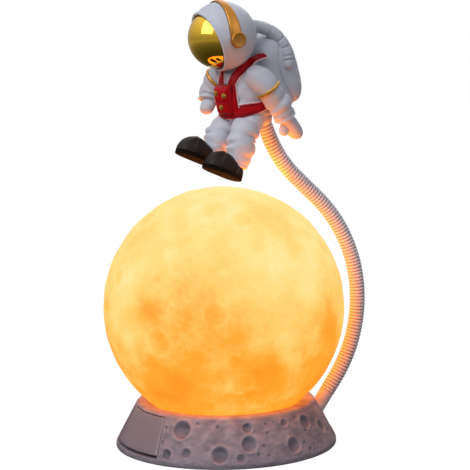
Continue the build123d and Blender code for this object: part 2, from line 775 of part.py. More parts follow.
def torso_body(grow):
    """Torso lofted through its ovals, grown all round."""
    return loft([oval(height, middle, width + grow, depth + grow)
                 for height, middle, width, depth in torso_sections])


def limb(stations):
    """Limb lofted through circles square to the line of its stations."""
    circles = []
    for index, (place, radius) in enumerate(stations):
        before = Vector(stations[max(index - 1, 0)][0])
        after = Vector(stations[min(index + 1, len(stations) - 1)][0])
        run = after - before
        circles.append(Plane(origin=place, x_dir=run.cross(Vector(limb_guide)), z_dir=run) * Circle(radius))
    return loft(circles)


def round_end(stations):
    """Ball at the last station of a limb."""
    place, radius = stations[-1]
    return Pos(*place) * Sphere(radius)


def capsule(start, end, radius):
    """Round bar with ball ends."""
    return rod(start, end, radius) + Pos(*start) * Sphere(radius) + Pos(*end) * Sphere(radius)


def helmet_ball(radius):
    """Ball about the helmet's centre."""
    return Pos(*helmet_centre) * Sphere(radius)


def make_visor():
    """Domed visor with the skirt that fits into the helmet's mouth, in the head's frame."""
    dome = (visor_radius ** 2 + visor_rise ** 2) / (2 * visor_rise)
    middle = Pos(0, dome - visor_plane - visor_rise, 0)
    front = Pos(0, -visor_plane, 0) * Box(far, far, far, align=(Align.CENTER, Align.MAX, Align.CENTER))
    cap = (middle * Sphere(dome) - middle * Sphere(dome - visor_wall)) & front
    lip = visor_radius - visor_fit
    skirt = rod((0, -visor_plane, 0), (0, visor_skirt - visor_plane, 0), lip)
    skirt -= rod((0, -visor_plane, 0), (0, visor_skirt - visor_plane, 0), lip - visor_skirt_wall)
    return cap + skirt


def make_helmet():
    """Round helmet shell, cut flat round the visor, in the head's frame."""
    shell = Sphere(helmet_radius) - Sphere(helmet_radius - helmet_wall)
    front = Pos(0, -visor_plane, 0) * Box(far, far, far, align=(Align.CENTER, Align.MAX, Align.CENTER))
    rim = rod((0, visor_skirt - visor_plane, 0), (0, -visor_plane, 0), helmet_radius) & Sphere(helmet_radius)
    mouth = rod((0, 2 * visor_skirt - visor_plane, 0), (0, -2 * visor_plane, 0), visor_radius)
    return shell - front + rim - mouth


def make_headband():
    """Band over the top of the helmet from ear to ear, in the head's frame."""
    outer = helmet_radius + headband_thickness
    strip = Rot(headband_lean, 0, 0) * Box(3 * outer, headband_width, 2 * outer, align=UP_FROM)
    return (Sphere(outer) - Sphere(helmet_radius)) & strip


def make_ear_disc(side):
    """Round disc over the end of the headband, in the head's frame."""
    start = (side * helmet_radius / 2, 0, -ear_disc_drop)
    end = (side * (helmet_radius + ear_disc_height), 0, -ear_disc_drop)
    return rod(start, end, ear_disc_radius) - Sphere(helmet_radius)


def make_backpack():
    """Rounded box on the back, in the leaning frame of the torso."""
    size = (2 * pack_half_width, pack_back - pack_front, pack_top - pack_bottom)
    box = Pos(0, (pack_front + pack_back) / 2, (pack_bottom + pack_top) / 2) * Box(*size)
    return fillet(box.edges(), pack_round)


def make_air_hose():
    """Left air hose: from the helmet over the pack's edge and down its side, with beads at the lower end."""
    start, corner, end = [Vector(point) for point in air_hose_points]
    plane = Plane(origin=corner, x_dir=start - corner, z_dir=(start - corner).cross(end - corner))
    flat = [plane.to_local_coords(point) for point in (start, corner, end)]
    path = plane * FilletPolyline(*[(point.X, point.Y) for point in flat], radius=air_hose_bend)
    mouth = Plane(origin=start, z_dir=corner - start)
    hose = sweep(mouth * Circle(air_hose_radius), path=path)
    run = (end - corner).normalized()
    for bead in range(air_hose_bead_count):
        foot = end - run * (bead * air_hose_bead_pitch)
        hose += rod(foot, foot - run * air_hose_bead_length, air_hose_bead_radius)
    return hose


def strap_prism():
    """Front-to-back prism of the straps, belt and chest panel, in the leaning frame of the torso."""
    left = make_face(Polyline(*strap_outline, close=True))
    right = make_face(Polyline(*[(-across, up) for across, up in strap_outline], close=True))
    chest = Pos(0, (chest_panel_bottom + chest_panel_top) / 2) * Rectangle(
        2 * chest_panel_half_width, chest_panel_top - chest_panel_bottom)
    belt = Pos(0, (belt_bottom + belt_top) / 2) * Rectangle(far, belt_top - belt_bottom)
    return extrude(Plane.XZ * (left + right + chest + belt), far, both=True)


def chest_face():
    """How far in front of the leaning frame the chest box's face stands."""
    height, middle, _, depth = torso_sections[3]
    lean = radians(torso_lean)
    surface = (middle - depth) * cos(lean) + (height - torso_lean_height) * sin(lean)
    return surface - harness_thickness - chest_box_depth


def make_chest_box():
    """Rounded box on the chest, in the leaning frame of the torso, run back into the chest."""
    depth = 3 * chest_box_depth
    size = (2 * chest_panel_half_width, depth, chest_panel_top - chest_panel_bottom)
    box = Pos(0, chest_face() + depth / 2, (chest_panel_bottom + chest_panel_top) / 2) * Box(*size)
    front = box.faces().sort_by(Axis.Y)[0]
    return fillet(front.edges() + box.edges().filter_by(Axis.Y), chest_box_round)


def make_chest_knobs():
    """Round knobs on the chest box's face, in the leaning frame of the torso."""
    face = chest_face()
    tip = face - knob_height
    return [rod((across, face, up), (across, tip, up), knob_radius) for across, up in knob_places]


def make_boot(heel):
    """Sole and upper of a boot whose heel stands at a place, tilted toe up."""
    place = Pos(*heel) * Rot(-boot_tilt, 0, 0)
    tread = Pos(0, -boot_length / 2, 0) * Rot(0, 0, 90) * SlotOverall(boot_length, boot_width)
    sole = extrude(tread, sole_thickness)
    upper = loft([oval(sole_thickness + height, middle, width, depth)
                  for height, middle, depth, width in upper_sections])
    return place * sole, place * upper


def export(name, shape):
    """Write a piece, or a group of like pieces, to its file."""
    pieces = shape if isinstance(shape, list) else [shape]
    solids = [solid for piece in pieces for solid in piece.solids()]
    export_step(solids[0] if len(solids) == 1 else Compound(solids), os.path.join("parts", name + ".step"))


def make_base_parts():
    """Every piece of the base and globe."""
    return {
        "base_shell": make_base_shell(),
        "bottom_cover": make_bottom_cover(),
        "cover_screws": make_cover_screws(),
        "antislip_pad": make_antislip_pad(),
        "moon_globe": make_moon_globe(),
        "globe_ring": make_globe_ring(),
        "led_board": make_led_board(),
        "led_chips": make_led_chips(),
        "battery_cell": make_battery_cell(),
        "control_board": make_control_board(),
        "usb_socket": make_usb_socket(),
        "battery_lead": make_battery_lead(),
        "light_lead": make_light_lead(),
        "switch_lead": make_switch_lead(),
        "front_panel": make_front_panel(),
        "panel_hinge_pin": make_panel_hinge_pin(),
        "switch_board": make_switch_board(),
        "tact_switch": make_tact_switch(),
        "switch_plunger": make_switch_plunger(),
        "lower_ferrule": make_lower_ferrule(),
        "ferrule_washer": make_ferrule_washer(),
        "ferrule_nut": make_ferrule_nut(),
    }


def make_neck_parts():
    """The gooseneck's three spans, parted at its two bending places."""
    bore = neck_bore()
    return {
        "gooseneck_lower": neck_span(0, neck_sway_rib, bore),
        "gooseneck_middle": neck_span(neck_sway_rib, neck_nod_rib, bore),
        "gooseneck_upper": neck_span(neck_nod_rib, neck_rib_count, bore),
    }


def make_figure_parts():
    """Every piece of the astronaut, each cut by the larger ones that it meets."""
    parts = {}
    socket_line = heading(neck_end_angle)
    plug = rod(neck_end, neck_end + socket_line * socket_ferrule_length, ferrule_stud_radius)
    spigot = rod(neck_end - socket_line * ferrule_spigot_length, neck_end,
                 neck_bore_radius - ferrule_spigot_clearance)
    collar = rod(neck_end, neck_end + socket_line * ferrule_shoulder_depth, ferrule_radius)
    upper_ferrule = plug + spigot + collar
    socket = rod(neck_end - socket_line * neck_radius, neck_end + socket_line * ferrule_shoulder_depth,
                 ferrule_radius + ferrule_stud_clearance)
    socket += rod(neck_end, neck_end + socket_line * socket_ferrule_length, ferrule_stud_radius
                  + ferrule_stud_clearance)
    hose_room = rod(neck_end - socket_line * neck_end_straight, neck_end,
                    neck_radius + ferrule_hole_clearance)

    head_room = helmet_ball(helmet_radius + pack_helmet_clearance)
    bare_torso = torso_body(0)
    towards_head = (Vector(helmet_centre) - Vector(neck_stub_foot)).normalized()
    stub = rod(neck_stub_foot, Vector(neck_stub_foot) + towards_head * neck_stub_length, neck_stub_radius)
    torso = bare_torso - head_room + stub
    helmet = head_place * make_helmet() - stub
    backpack = lean_place * make_backpack() - torso - head_room

    straps = (torso_body(harness_thickness) - bare_torso) & (lean_place * strap_prism())
    harness = straps - stub - backpack - head_room
    chest_box = lean_place * make_chest_box() - torso_body(harness_thickness)

    for name, stations, hand, thumb, ring_station, mirror in (
            ("left", left_arm_stations, left_hand_stations, left_thumb, left_ring_station, 1),
            ("right", right_arm_stations, right_hand_stations, right_thumb, right_ring_station, -1)):
        sleeve = limb(stations)
        arm = sleeve - torso - harness - backpack
        place, radius = stations[ring_station]
        run = Vector(stations[ring_station + 1][0]) - Vector(stations[ring_station - 1][0])
        ring = Plane(origin=place, z_dir=run) * Torus(radius, arm_ring_thickness)
        glove = limb(hand) + round_end(hand) + capsule(*thumb) - sleeve
        parts[name + "_arm"] = arm
        parts[name + "_arm_ring"] = ring - sleeve - torso - harness - backpack
        parts[name + "_glove"] = glove - torso
        hose = make_air_hose()
        if mirror < 0:
            hose = hose.mirror(Plane.YZ)
        parts[name + "_air_hose"] = hose - backpack - head_room

    for name, stations, heel, side in (
            ("left", left_leg_stations, left_heel, 1), ("right", right_leg_stations, right_heel, -1)):
        half = Pos(side * leg_parting, 0, 0) * Box(
            far, far, far, align=(Align.MIN if side > 0 else Align.MAX, Align.CENTER, Align.CENTER))
        whole_leg = limb(stations)
        sole, upper = make_boot(heel)
        parts[name + "_leg"] = (whole_leg & half) - torso - harness - chest_box - sole - upper
        parts[name + "_boot"] = upper & half
        parts[name + "_sole"] = sole & half

    parts["torso"] = torso
    parts["helmet"] = helmet
    parts["visor"] = head_place * make_visor()
    ear_discs = [make_ear_disc(side) for side in (-1, 1)]
    parts["headband"] = head_place * (make_headband() - ear_discs[0] - ear_discs[1])
    parts["ear_discs"] = [head_place * disc for disc in ear_discs]
    parts["backpack"] = backpack
    parts["harness"] = harness
    parts["chest_box"] = chest_box
    parts["chest_knobs"] = [lean_place * knob for knob in make_chest_knobs()]

    placed = {}
    for name, shape in parts.items():
        is_group = isinstance(shape, list)
        placed[name] = [figure_place * piece for piece in shape] if is_group else figure_place * shape
    placed["torso"] = placed["torso"] - socket - hose_room
    for name in ("left_leg", "right_leg", "harness", "backpack"):
        placed[name] = placed[name] - hose_room - socket
    placed["upper_ferrule"] = upper_ferrule
    return placed


def main():
    os.makedirs("parts", exist_ok=True)
    parts = make_base_parts()
    parts.update(make_neck_parts())
    parts.update(make_figure_parts())
    for name, shape in parts.items():
        export(name, shape)
    neck_section = pi * neck_bore_radius ** 2
    print("neck length", round(neck_length, 2), "rib pitch", round(neck_rib_pitch, 3))
    print("bore volume", round(neck_bore().volume, 1), "expected",
          round(neck_section * (neck_length + 2 * neck_radius), 1))
    for rib in (neck_sway_rib, neck_nod_rib, neck_rib_count):
        point, angle = neck_station(rib * neck_rib_pitch)
        print("rib", rib, [round(value, 2) for value in point], round(angle, 2))
    print("panel pin", round(panel_pin_y, 3), panel_pin_height, "switch front", round(switch_front_y, 3))
    print("figure origin", [round(value, 2) for value in figure_origin])


main()
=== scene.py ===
import math

import bmesh
import bpy
import mathutils
import numpy as np
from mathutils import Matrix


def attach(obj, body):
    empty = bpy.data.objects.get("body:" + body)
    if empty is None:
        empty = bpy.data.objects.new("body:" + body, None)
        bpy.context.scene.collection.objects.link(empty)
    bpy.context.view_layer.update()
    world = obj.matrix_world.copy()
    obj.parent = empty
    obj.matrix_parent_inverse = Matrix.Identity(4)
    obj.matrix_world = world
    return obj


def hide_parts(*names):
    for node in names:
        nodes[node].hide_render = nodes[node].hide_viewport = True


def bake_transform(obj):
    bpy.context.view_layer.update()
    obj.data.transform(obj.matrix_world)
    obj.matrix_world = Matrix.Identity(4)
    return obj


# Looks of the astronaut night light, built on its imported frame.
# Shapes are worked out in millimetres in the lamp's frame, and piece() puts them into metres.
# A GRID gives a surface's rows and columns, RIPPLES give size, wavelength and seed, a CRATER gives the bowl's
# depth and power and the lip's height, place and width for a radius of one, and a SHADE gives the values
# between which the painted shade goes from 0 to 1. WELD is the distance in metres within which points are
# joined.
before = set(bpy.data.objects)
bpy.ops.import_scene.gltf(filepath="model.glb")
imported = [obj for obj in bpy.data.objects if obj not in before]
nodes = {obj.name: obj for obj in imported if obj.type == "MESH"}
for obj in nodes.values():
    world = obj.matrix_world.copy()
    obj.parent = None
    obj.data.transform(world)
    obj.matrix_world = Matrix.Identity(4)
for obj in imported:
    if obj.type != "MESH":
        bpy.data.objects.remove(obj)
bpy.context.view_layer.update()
MM = 0.001
TURN = 2 * math.pi
WELD = 2e-6
SIDEWAYS = (1.0, 0.0, 0.0)

# Moon globe
GLOBE_RADIUS = 75.0
GLOBE_HEIGHT = 86.6
GLOBE_NECK_RADIUS = 36.0
GLOBE_NECK_BOTTOM = 12.8
GLOBE_WALL = 2.2
GLOBE_CENTRE = np.array([0.0, 0.0, GLOBE_HEIGHT])
MOON_GRID = (190, 400)
MOON_RIPPLES = [(0.12, 16, 5), (0.05, 6, 6)]
MOON_CRATERS = 110
MOON_CRATER_SEED = 11
MOON_CRATER_LEAST = 1.6
MOON_CRATER_SPAN = 7.0
MOON_CRATER = (0.055, 1.0, 0.035, 1.0, 0.22)
MOON_RELIEF_FADE = (26.0, 34.0)
MOON_RELIEF_ROOM = 0.25
MOON_RELIEF_TONE = 0.28
MOON_MEAN_TONE = 0.50
MOON_TONE_RISE = 0.30
MOON_NECK_TONE = 0.3
MOON_FAR_TURN = 176

# Broad patches of the moon's light: angle from +X, height, reach and strength, above zero for pale ones
MOON_PATCHES = [
    (-56, 0.11, 0.15, -0.30), (-32, 0.13, 0.26, -0.24), (-46, -0.44, 0.27, -0.30), (-56, -0.69, 0.26, -0.16),
    (0, -0.38, 0.20, -0.36), (37, -0.10, 0.17, -0.34), (52, -0.55, 0.30, -0.26), (18, 0.80, 0.20, -0.26),
    (-22, 0.52, 0.20, -0.10), (5, 0.02, 0.11, -0.10), (-12, -0.04, 0.12, -0.20), (-80, 0.60, 0.16, -0.14),
    (-75, 0.22, 0.20, 0.24), (-72, 0.40, 0.16, 0.16), (-20, 0.80, 0.30, 0.16), (8, 0.44, 0.30, 0.26),
    (38, 0.48, 0.22, 0.20), (8, -0.17, 0.15, 0.26), (-48, 0.50, 0.09, 0.14), (-14, -0.50, 0.10, 0.16),
    (-72, -0.15, 0.10, 0.22), (-18, -0.86, 0.22, 0.12), (-62, -0.08, 0.10, 0.10), (24, 0.20, 0.12, 0.14),
    (-82, -0.04, 0.10, 0.16),
]

# Base: its side leans in by BASE_SIDE_RUN for each millimetre up
BASE_RADIUS = 69.0
BASE_HEIGHT = 28.5
BASE_BOTTOM = 0.5
BASE_RIM_HEIGHT = 3.0
BASE_RIM_ROUND = 0.8
BASE_RIM_BLEND = 3.4
BASE_SIDE_RUN = 0.543
BASE_SIDE_STRETCH = math.hypot(1, BASE_SIDE_RUN)
BASE_EDGE_ROUND = 3.0
BASE_WALL = 2.6
BASE_WALL_STEPS = 4
# The walls in the panel's opening are darker: painted shade for the gap's shadow.
BASE_WALL_PAINTED_SHADE = 0.35
BASE_GRID = (58, 760)
BASE_EDGE_ROWS = 9
BASE_RIPPLES = [(0.13, 11, 21), (0.06, 4, 22)]
BASE_CRATER = (0.36, 1.15, 0.075, 1.08, 0.20)
BASE_SHADE = (-0.9, 0.5)
BASE_OPENING_FADE = (-0.8, 3.0)
SEAT_RADIUS = 75.3
SEAT_HOLE_RADIUS = 36.5
SEAT_ROWS = 8

# Craters of the base: angle round it from +X, height, radius; then the ranges of the scattered pits
CRATERS = [
    (-46, 21.0, 5.8), (-23, 8.6, 5.3), (-7, 13.7, 5.0), (19, 10.3, 4.8), (34, 20.6, 4.5), (49, 14.5, 4.3),
    (-52, 7.3, 3.3), (-41, 8.9, 3.2), (-12, 6.6, 3.0), (-7, 22.4, 3.3), (17, 22.8, 2.7), (70, 19.5, 3.6),
    (140, 18.5, 5.4), (158, 9.0, 4.6), (176, 17.0, 5.2), (192, 8.6, 3.4), (206, 20.4, 4.2), (220, 9.4, 4.8),
    (105, 20.8, 3.0), (148, 8.4, 2.8),
]
PIT_COUNT = 90
PIT_SEED = 31
PIT_RANGES = [(-70, 250), (5, 26), (0.6, 1.7)]

# Front panel and the opening that it sits in; its edge turns in by rows of inset and depth
PANEL_BOTTOM = 5.6
PANEL_TOP = 26.6
PANEL_BOTTOM_HALF = 36.0
PANEL_TOP_HALF = 27.5
PANEL_THICKNESS = 2.4
PANEL_SEAM = 0.3
PANEL_BOTTOM_GAP = 1.6
PANEL_EDGE = np.array([
    (0.0, PANEL_THICKNESS), (0.0, 0.75), (0.07, 0.34), (0.22, 0.12), (0.50, 0.02), (1.1, 0.0),
])
PANEL_GRID = (30, 90)
PANEL_FRAME_COLUMNS = 110

# Charging recess at the back
SOCKET_ANGLE = 120.0
SOCKET_HEIGHT = 9.4
SOCKET_FLOOR = 63.7
SOCKET_RECESS = (13.0, 7.2)
SOCKET_SLOT = (9.4, 3.7)
SOCKET_SLOT_FLOOR = 62.4

# Gooseneck: angles are above +Y
NECK_RADIUS = 5.0
NECK_VALLEY = 0.42
NECK_SHADE_POWER = 2.2
NECK_GAP = 11.0
NECK_BASE_ANGLE = 55.2
NECK_LEAN_ANGLE = 136.0
NECK_END_ANGLE = 112.0
NECK_BASE_STRAIGHT = 10.0
NECK_LEAN_STRAIGHT = 19.6
NECK_END_STRAIGHT = 12.0
NECK_BEND_RADIUS = 73.0
NECK_RIBS = 95
NECK_SPLIT_RIB = 48
NECK_SIDES = 40
NECK_RIB_STEPS = 8
NECK_BORE = 3.0
NECK_BLEND_RIBS = np.array([4.0, -2.0])

# Figure: placed by its gooseneck socket, +X its left, -Y its front
FIGURE_TURN = 22.0
FIGURE_SOCKET_BACK = 14.3
TORSO_LEAN = 20.0
LEAN_HEIGHT = 2.0

# Torso sections: height, middle from front to back, half width, half depth
# Waist fold: depth, sway, height, width
TORSO = np.array([
    (-4.5, 1.5, 10.0, 10.0), (-0.5, 2.5, 14.2, 14.4), (6.0, 1.0, 16.0, 15.5), (14.0, -2.5, 16.5, 13.0),
    (22.0, -4.0, 16.2, 11.0), (29.0, -3.4, 14.4, 10.0), (34.5, -1.6, 11.6, 8.0), (39.0, 0.6, 8.0, 5.4),
])
TORSO_GRID = (110, 120)
TORSO_BROAD_RIPPLES = [(0.20, 9, 41)]
TORSO_BROAD_STRETCH = (0.6, 0.6, 1.6)
TORSO_FINE_RIPPLES = [(0.10, 4.5, 42)]
TORSO_SHADE = (0.15, 0.75)
WAIST_FOLD = (0.5, 1.5, 1.5, 1.3)

# Helmet with its lip's profile of radius and place along the visor's axis, visor, seal, headband, ear discs
HELMET_RADIUS = 20.8
HELMET_CENTRE = np.array([0.0, -17.8, 51.7])
HELMET_TURN = -18.0
HELMET_PITCH = 21.0
HELMET_LIP_START = 7.9
HELMET_LIP = [
    (19.25, -8.6), (19.15, -9.6), (18.80, -10.0), (18.10, -10.05), (17.65, -9.9), (17.50, -9.4),
    (17.35, -8.0), (16.60, -7.4),
]
HELMET_BROW = 0.30
HELMET_BROW_START = 8.5
HELMET_SHADE = (17.6, 17.3)
HELMET_SHADE_SHARE = 0.3
HELMET_BALL_ROWS = 80
HELMET_LIP_ROWS = 42
HELMET_SIDES = 168
VISOR_RADIUS = 17.3
VISOR_PLANE = 9.1
VISOR_RISE = 12.2
VISOR_SKIRT = 2.0
VISOR_GRID = (70, 128)
SEAL_RADIUS = 17.25
SEAL_OUT = 0.45
SEAL_THICKNESS = 0.34
SEAL_SIDES = 10
HEADBAND_LEAN = -14.0
HEADBAND_HALF = 2.6
HEADBAND_EAR_EXTRA = 1.1
HEADBAND_THICKNESS = 1.3
HEADBAND_SUNK = 0.2
HEADBAND_REACH = 99.0
HEADBAND_GRID = (140, 41)
EAR_RADIUS = 4.7
EAR_HEIGHT = 2.6
EAR_DROP = 2.6
EAR_GRID = (50, 64)
EAR_PROFILE = [
    (0.0, EAR_HEIGHT - 0.25), (1.8, EAR_HEIGHT - 0.22), (3.4, EAR_HEIGHT - 0.1), (4.1, EAR_HEIGHT - 0.02),
    (4.55, EAR_HEIGHT - 0.4), (EAR_RADIUS, EAR_HEIGHT - 1.1), (EAR_RADIUS - 0.05, -1.2),
]

# Backpack in the leaning frame: its seam has a depth, a place, a curve and a width
PACK_MIDDLE = np.array([0.0, 28.5, 18.5])
PACK_HALF = np.array([15.2, 16.1, 23.3])
PACK_SQUARENESS = 3.5
PACK_GRID = (120, 160)
PACK_RIPPLES = [(0.16, 17, 51), (0.05, 7, 52)]
PACK_SEAM = (0.45, -4.0, 0.02, 0.9)
PACK_SHADE = (0.2, 0.7)

# Air hoses: path, soft first crease and sharp ones, as shares of the length
AIR_HOSE = [
    (6.4, -1.5, 57.6), (7.6, 6.0, 56.8), (9.4, 12.8, 54.4), (11.2, 18.0, 50.4), (12.8, 21.2, 44.4),
    (14.2, 22.2, 37.4), (15.3, 22.6, 30.4),
]
AIR_HOSE_GRID = (200, 48)
AIR_HOSE_RADIUS = 3.9
AIR_HOSE_SOFT_CREASE = 0.30
AIR_HOSE_CREASES = [0.53, 0.67, 0.80, 0.86]
AIR_HOSE_CREASE_DEPTH = 0.42
AIR_HOSE_PUFF = 0.12
AIR_HOSE_TIP = 0.90
AIR_HOSE_TAPER = (0.80, 0.92)
AIR_HOSE_SHADE_SHARE = 0.75

# Harness: lines that the straps follow; a strap's edge has rows of shares of the half width and of the lift
STRAP_LIFT = 1.3
STRAP_EDGE = np.array([(1.0, -0.3), (1.0, 0.40), (0.98, 0.78), (0.92, 0.96)])
STRAP_FLAT = 0.84
STRAP_FLAT_COLUMNS = 21
STRAP_GROOVE_DEPTH = 0.16
STRAP_GROOVE_PLACE = 0.66
STRAP_ROWS = 110
EDGING_RADIUS = 0.5
EDGING_LIFT = 0.3
EDGING_PLACE = 1.10
EDGING_GUIDE = (0.3, 0.2, 1.0)
EDGING_SIDES = 8
SHOULDER_STRAP = [
    (4.4, -15.0, 22.0), (6.4, -14.4, 26.4), (9.0, -11.4, 30.8), (10.4, -7.4, 34.2), (11.0, -3.2, 36.6),
    (11.6, 0.4, 38.0), (12.4, 3.0, 38.9), (12.9, 5.0, 39.4),
]
SHOULDER_STRAP_HALF = 2.7
SHOULDER_HEIGHT = 36.0
SHOULDER_FADE = (28.0, 34.0)
SHOULDER_SLOPE = (0.35, -0.35, 0.87)
SIDE_BAND = [(7.0, -14.0, 5.0), (6.8, -15.0, 12.0), (6.1, -15.0, 19.0), (4.9, -15.0, 24.4)]
SIDE_BAND_HALF = 2.1
BELT_UP = 7.2
BELT_HALF = 2.7
BELT_FRONT_EXTRA = 1.0
BELT_FRONT_RISE = 0.9
BELT_FRONT_REACH = 12.0
BELT_START = (16.0, 14.0)
BELT_POINTS = 24
BELT_ROWS = 200
BELT_ROUNDS = 6

# Chest box in the leaning frame, and its knobs' places across and up, with their profile of radius and height
CHEST_HALF_WIDTH = 6.3
CHEST_BOTTOM = 7.2
CHEST_TOP = 25.2
CHEST_MIDDLE = (CHEST_TOP + CHEST_BOTTOM) / 2
CHEST_HALF_HEIGHT = (CHEST_TOP - CHEST_BOTTOM) / 2
CHEST_FACE = -14.8
CHEST_DEPTH = 6.0
CHEST_FLAT_DEPTH = 5.8
CHEST_LOW_EXTRA = 2.2
CHEST_CROWN = 0.6
CHEST_WAIST = (0.25, 0.05, 0.12)
CHEST_GRID = (75, 61)
KNOBS = [(-2.3, 21.6), (4.0, 20.2), (0.4, 13.2)]
KNOB_SIZE = 0.85
KNOB_LIFT = 0.1
KNOB_PROFILE = [
    (2.05, -0.5), (2.05, 0.35), (1.8, 0.6), (1.5, 0.38), (1.42, 0.45), (1.2, 1.0), (0.6, 1.35), (0.0, 1.42),
]
KNOB_GRID = (40, 32)

# Limbs: stations of place and radius, then creases of place along, tilt, phase, depth, width. A crease's
# strength has a mean and a sway; its puffs and the cuff's swell have height, place and width; the cuff's end
# has a fall and its start. Each limb has a seed of its own for its ripples.
LEFT_ARM = [
    (12.0, -5.0, 27.0, 7.2), (18.2, -3.6, 25.0, 7.8), (20.4, 0.2, 19.4, 7.5), (22.4, 7.2, 9.8, 7.3),
    (23.0, 12.6, 1.4, 6.3),
]
RIGHT_ARM = [
    (-13.5, -4.8, 28.2, 7.0), (-18.2, -5.2, 25.4, 8.3), (-21.2, -6.2, 20.6, 8.0), (-22.6, -7.8, 15.8, 7.3),
    (-22.2, -9.6, 11.9, 6.3),
]
LEFT_ARM_CREASES = [
    (0.25, 0.05, 0.6, 0.30, 0.050), (0.60, 0.05, 3.4, 0.30, 0.045), (0.71, -0.05, 0.4, 0.85, 0.034),
    (0.86, 0.03, 2.6, 0.75, 0.028),
]
RIGHT_ARM_CREASES = [(0.56, 0.05, 0.4, 0.50, 0.070), (0.86, 0.03, 2.6, 0.45, 0.055)]
LEFT_LEG = [
    (6.5, 0.0, 3.0, 8.4), (8.0, -6.0, -3.2, 8.9), (9.0, -11.4, -10.0, 8.6), (9.0, -13.4, -18.4, 8.5),
    (9.0, -16.2, -28.0, 5.8),
]
RIGHT_LEG = [
    (-6.5, -0.5, 3.0, 8.4), (-8.0, -6.4, -2.8, 8.9), (-9.0, -12.2, -8.2, 8.7), (-9.2, -15.8, -13.8, 8.4),
    (-9.3, -20.2, -20.6, 5.8),
]
LEG_CREASES = [
    (0.22, 0.06, 1.6, 0.60, 0.045), (0.45, -0.06, 3.6, 0.95, 0.040), (0.60, 0.05, 5.2, 0.75, 0.036),
    (0.80, -0.03, 4.0, 0.60, 0.040),
]
FOLD_STRENGTH = (0.72, 0.28)
FOLD_PUFF = (0.45, 2.2, 1.2)
CUFF_SWELL = (0.45, 0.975, 0.018)
CUFF_END = (0.9, 0.985)
LIMB_GRID = (170, 84)
LIMB_RIPPLES = [(0.24, 13), (0.05, 6)]
LIMB_SHADE = (0.15, 1.1)
LIMB_SHADE_SHARE = 0.75
ARM_GUIDE = (0.0, 1.0, 0.3)
HAND_GUIDE = (1.0, 0.2, 0.0)
LEFT_BAND_PLACE = 0.50
RIGHT_BAND_PLACE = 0.25
BAND_LIFT = 0.28
BAND_HALF_THICKNESS = 0.62
BAND_HALF_WIDTH = 1.15
BAND_GRID = (96, 14)

# Hands: stations of place and radius
LEFT_HAND = [
    (23.0, 12.4, 1.8, 5.0), (22.9, 16.2, -2.6, 5.5), (22.5, 20.4, -7.2, 5.2), (22.2, 23.6, -11.0, 4.0),
]
RIGHT_HAND = [
    (-22.2, -9.4, 12.4, 4.8), (-21.6, -11.4, 9.4, 4.9), (-20.8, -13.6, 6.8, 4.4), (-20.2, -15.0, 5.2, 3.4),
]
LEFT_THUMB = [(22.4, 13.2, -0.8, 2.9), (21.2, 12.8, -5.2, 3.1), (20.3, 12.0, -9.2, 2.7)]
RIGHT_THUMB = [(-20.6, -10.0, 10.6, 2.2), (-18.6, -11.6, 9.0, 2.4), (-17.2, -12.9, 7.9, 2.2)]
PALM_FLATNESS = 0.8
PALM_GRID = (80, 56)
THUMB_GRID = (44, 32)
FINGER_TIP = 0.72
FINGER_TIP_POWER = 2.2
FINGER_TIP_STRETCH = 0.02

# Boots: height of the upper at shares of its length from the heel; the sole's edge: rows of reach and height.
# Waists and the dip have depth, place and width; seams have place, sway and width; powers square forms off.
LEFT_HEEL = np.array([9.0, -15.0, -36.4])
RIGHT_HEEL = np.array([-9.3, -20.4, -27.8])
BOOT_TILT = 21.5
BOOT_LENGTH = 28.8
BOOT_HALF_WIDTH = 7.3
BOOT_HEIGHTS = [
    (0.0, 5.8), (0.05, 6.4), (0.31, 8.8), (0.46, 10.5), (0.58, 11.0), (0.68, 10.8), (0.78, 9.7), (0.88, 7.9),
    (1.0, 4.6),
]
BOOT_GRID = (110, 64)
BOOT_INSET = 0.55
BOOT_END_GAP = 0.5
BOOT_SUNK = 0.1
BOOT_SMOOTHING_ROWS = 8
BOOT_WAIST = (0.09, 0.34, 0.16)
BOOT_WIDTH_POWERS = (5.0, 0.40)
BOOT_HEIGHT_POWERS = (9.0, 0.45)
BOOT_ARCH_POWERS = (0.74, 0.72)
BOOT_TOE_SEAM = (0.64, 0.13, 0.014)
BOOT_HEEL_SEAM = (0.27, 0.05, 0.013)
BOOT_SEAM_RIDGE = 0.30
BOOT_SEAM_DIP = (0.20, -0.030, 0.02)
SOLE_THICKNESS = 2.8
SOLE_EDGE = [
    (-1.3, 0.0), (-0.35, 0.05), (0.0, 0.5), (0.0, 1.5), (-0.42, 1.75), (-0.02, 2.05), (0.02, 2.65),
    (-0.35, SOLE_THICKNESS), (-1.6, SOLE_THICKNESS),
]
SOLE_WAIST = (0.07, 0.30, 0.30)
SOLE_POWERS = (0.72, 0.78)
SOLE_GRID = (48, 140)
SOLE_FLOOR_ROWS = 20
TREAD_DEPTH = 0.30
TREAD_PITCH = 3.4

# Camera: where it looks from and at, its focal length in pixels of the square picture, its roll
PICTURE_SIDE = 470
CAMERA_AZIMUTH = 70.0
CAMERA_ELEVATION = 6.9
CAMERA_DISTANCE = 1.0
CAMERA_TARGET_RIGHT = 0.0077
CAMERA_TARGET_HEIGHT = 0.1312
CAMERA_FOCAL_PIXELS = 1613.4
CAMERA_ROLL = -1.0
SENSOR = 36.0

# Studio: the world's strength for soft light, and between two levels in reflections; the floor's own colour,
# the white that the camera sees of it, and its strength between two distances in reflections
WORLD_AMBIENT = 0.17
WORLD_MIRRORED = (0.34, 1.0)
WORLD_MIRRORED_REACH = (-0.05, 0.75)
FLOOR_SIDE = 4.0
FLOOR_ALBEDO = 0.18
FLOOR_ROUGHNESS = 0.9
FLOOR_WHITE_SHARE = 0.82
FLOOR_WHITE = 1.22
FLOOR_MIRRORED = (0.04, 0.40)
FLOOR_MIRRORED_REACH = (0.1, 1.6)

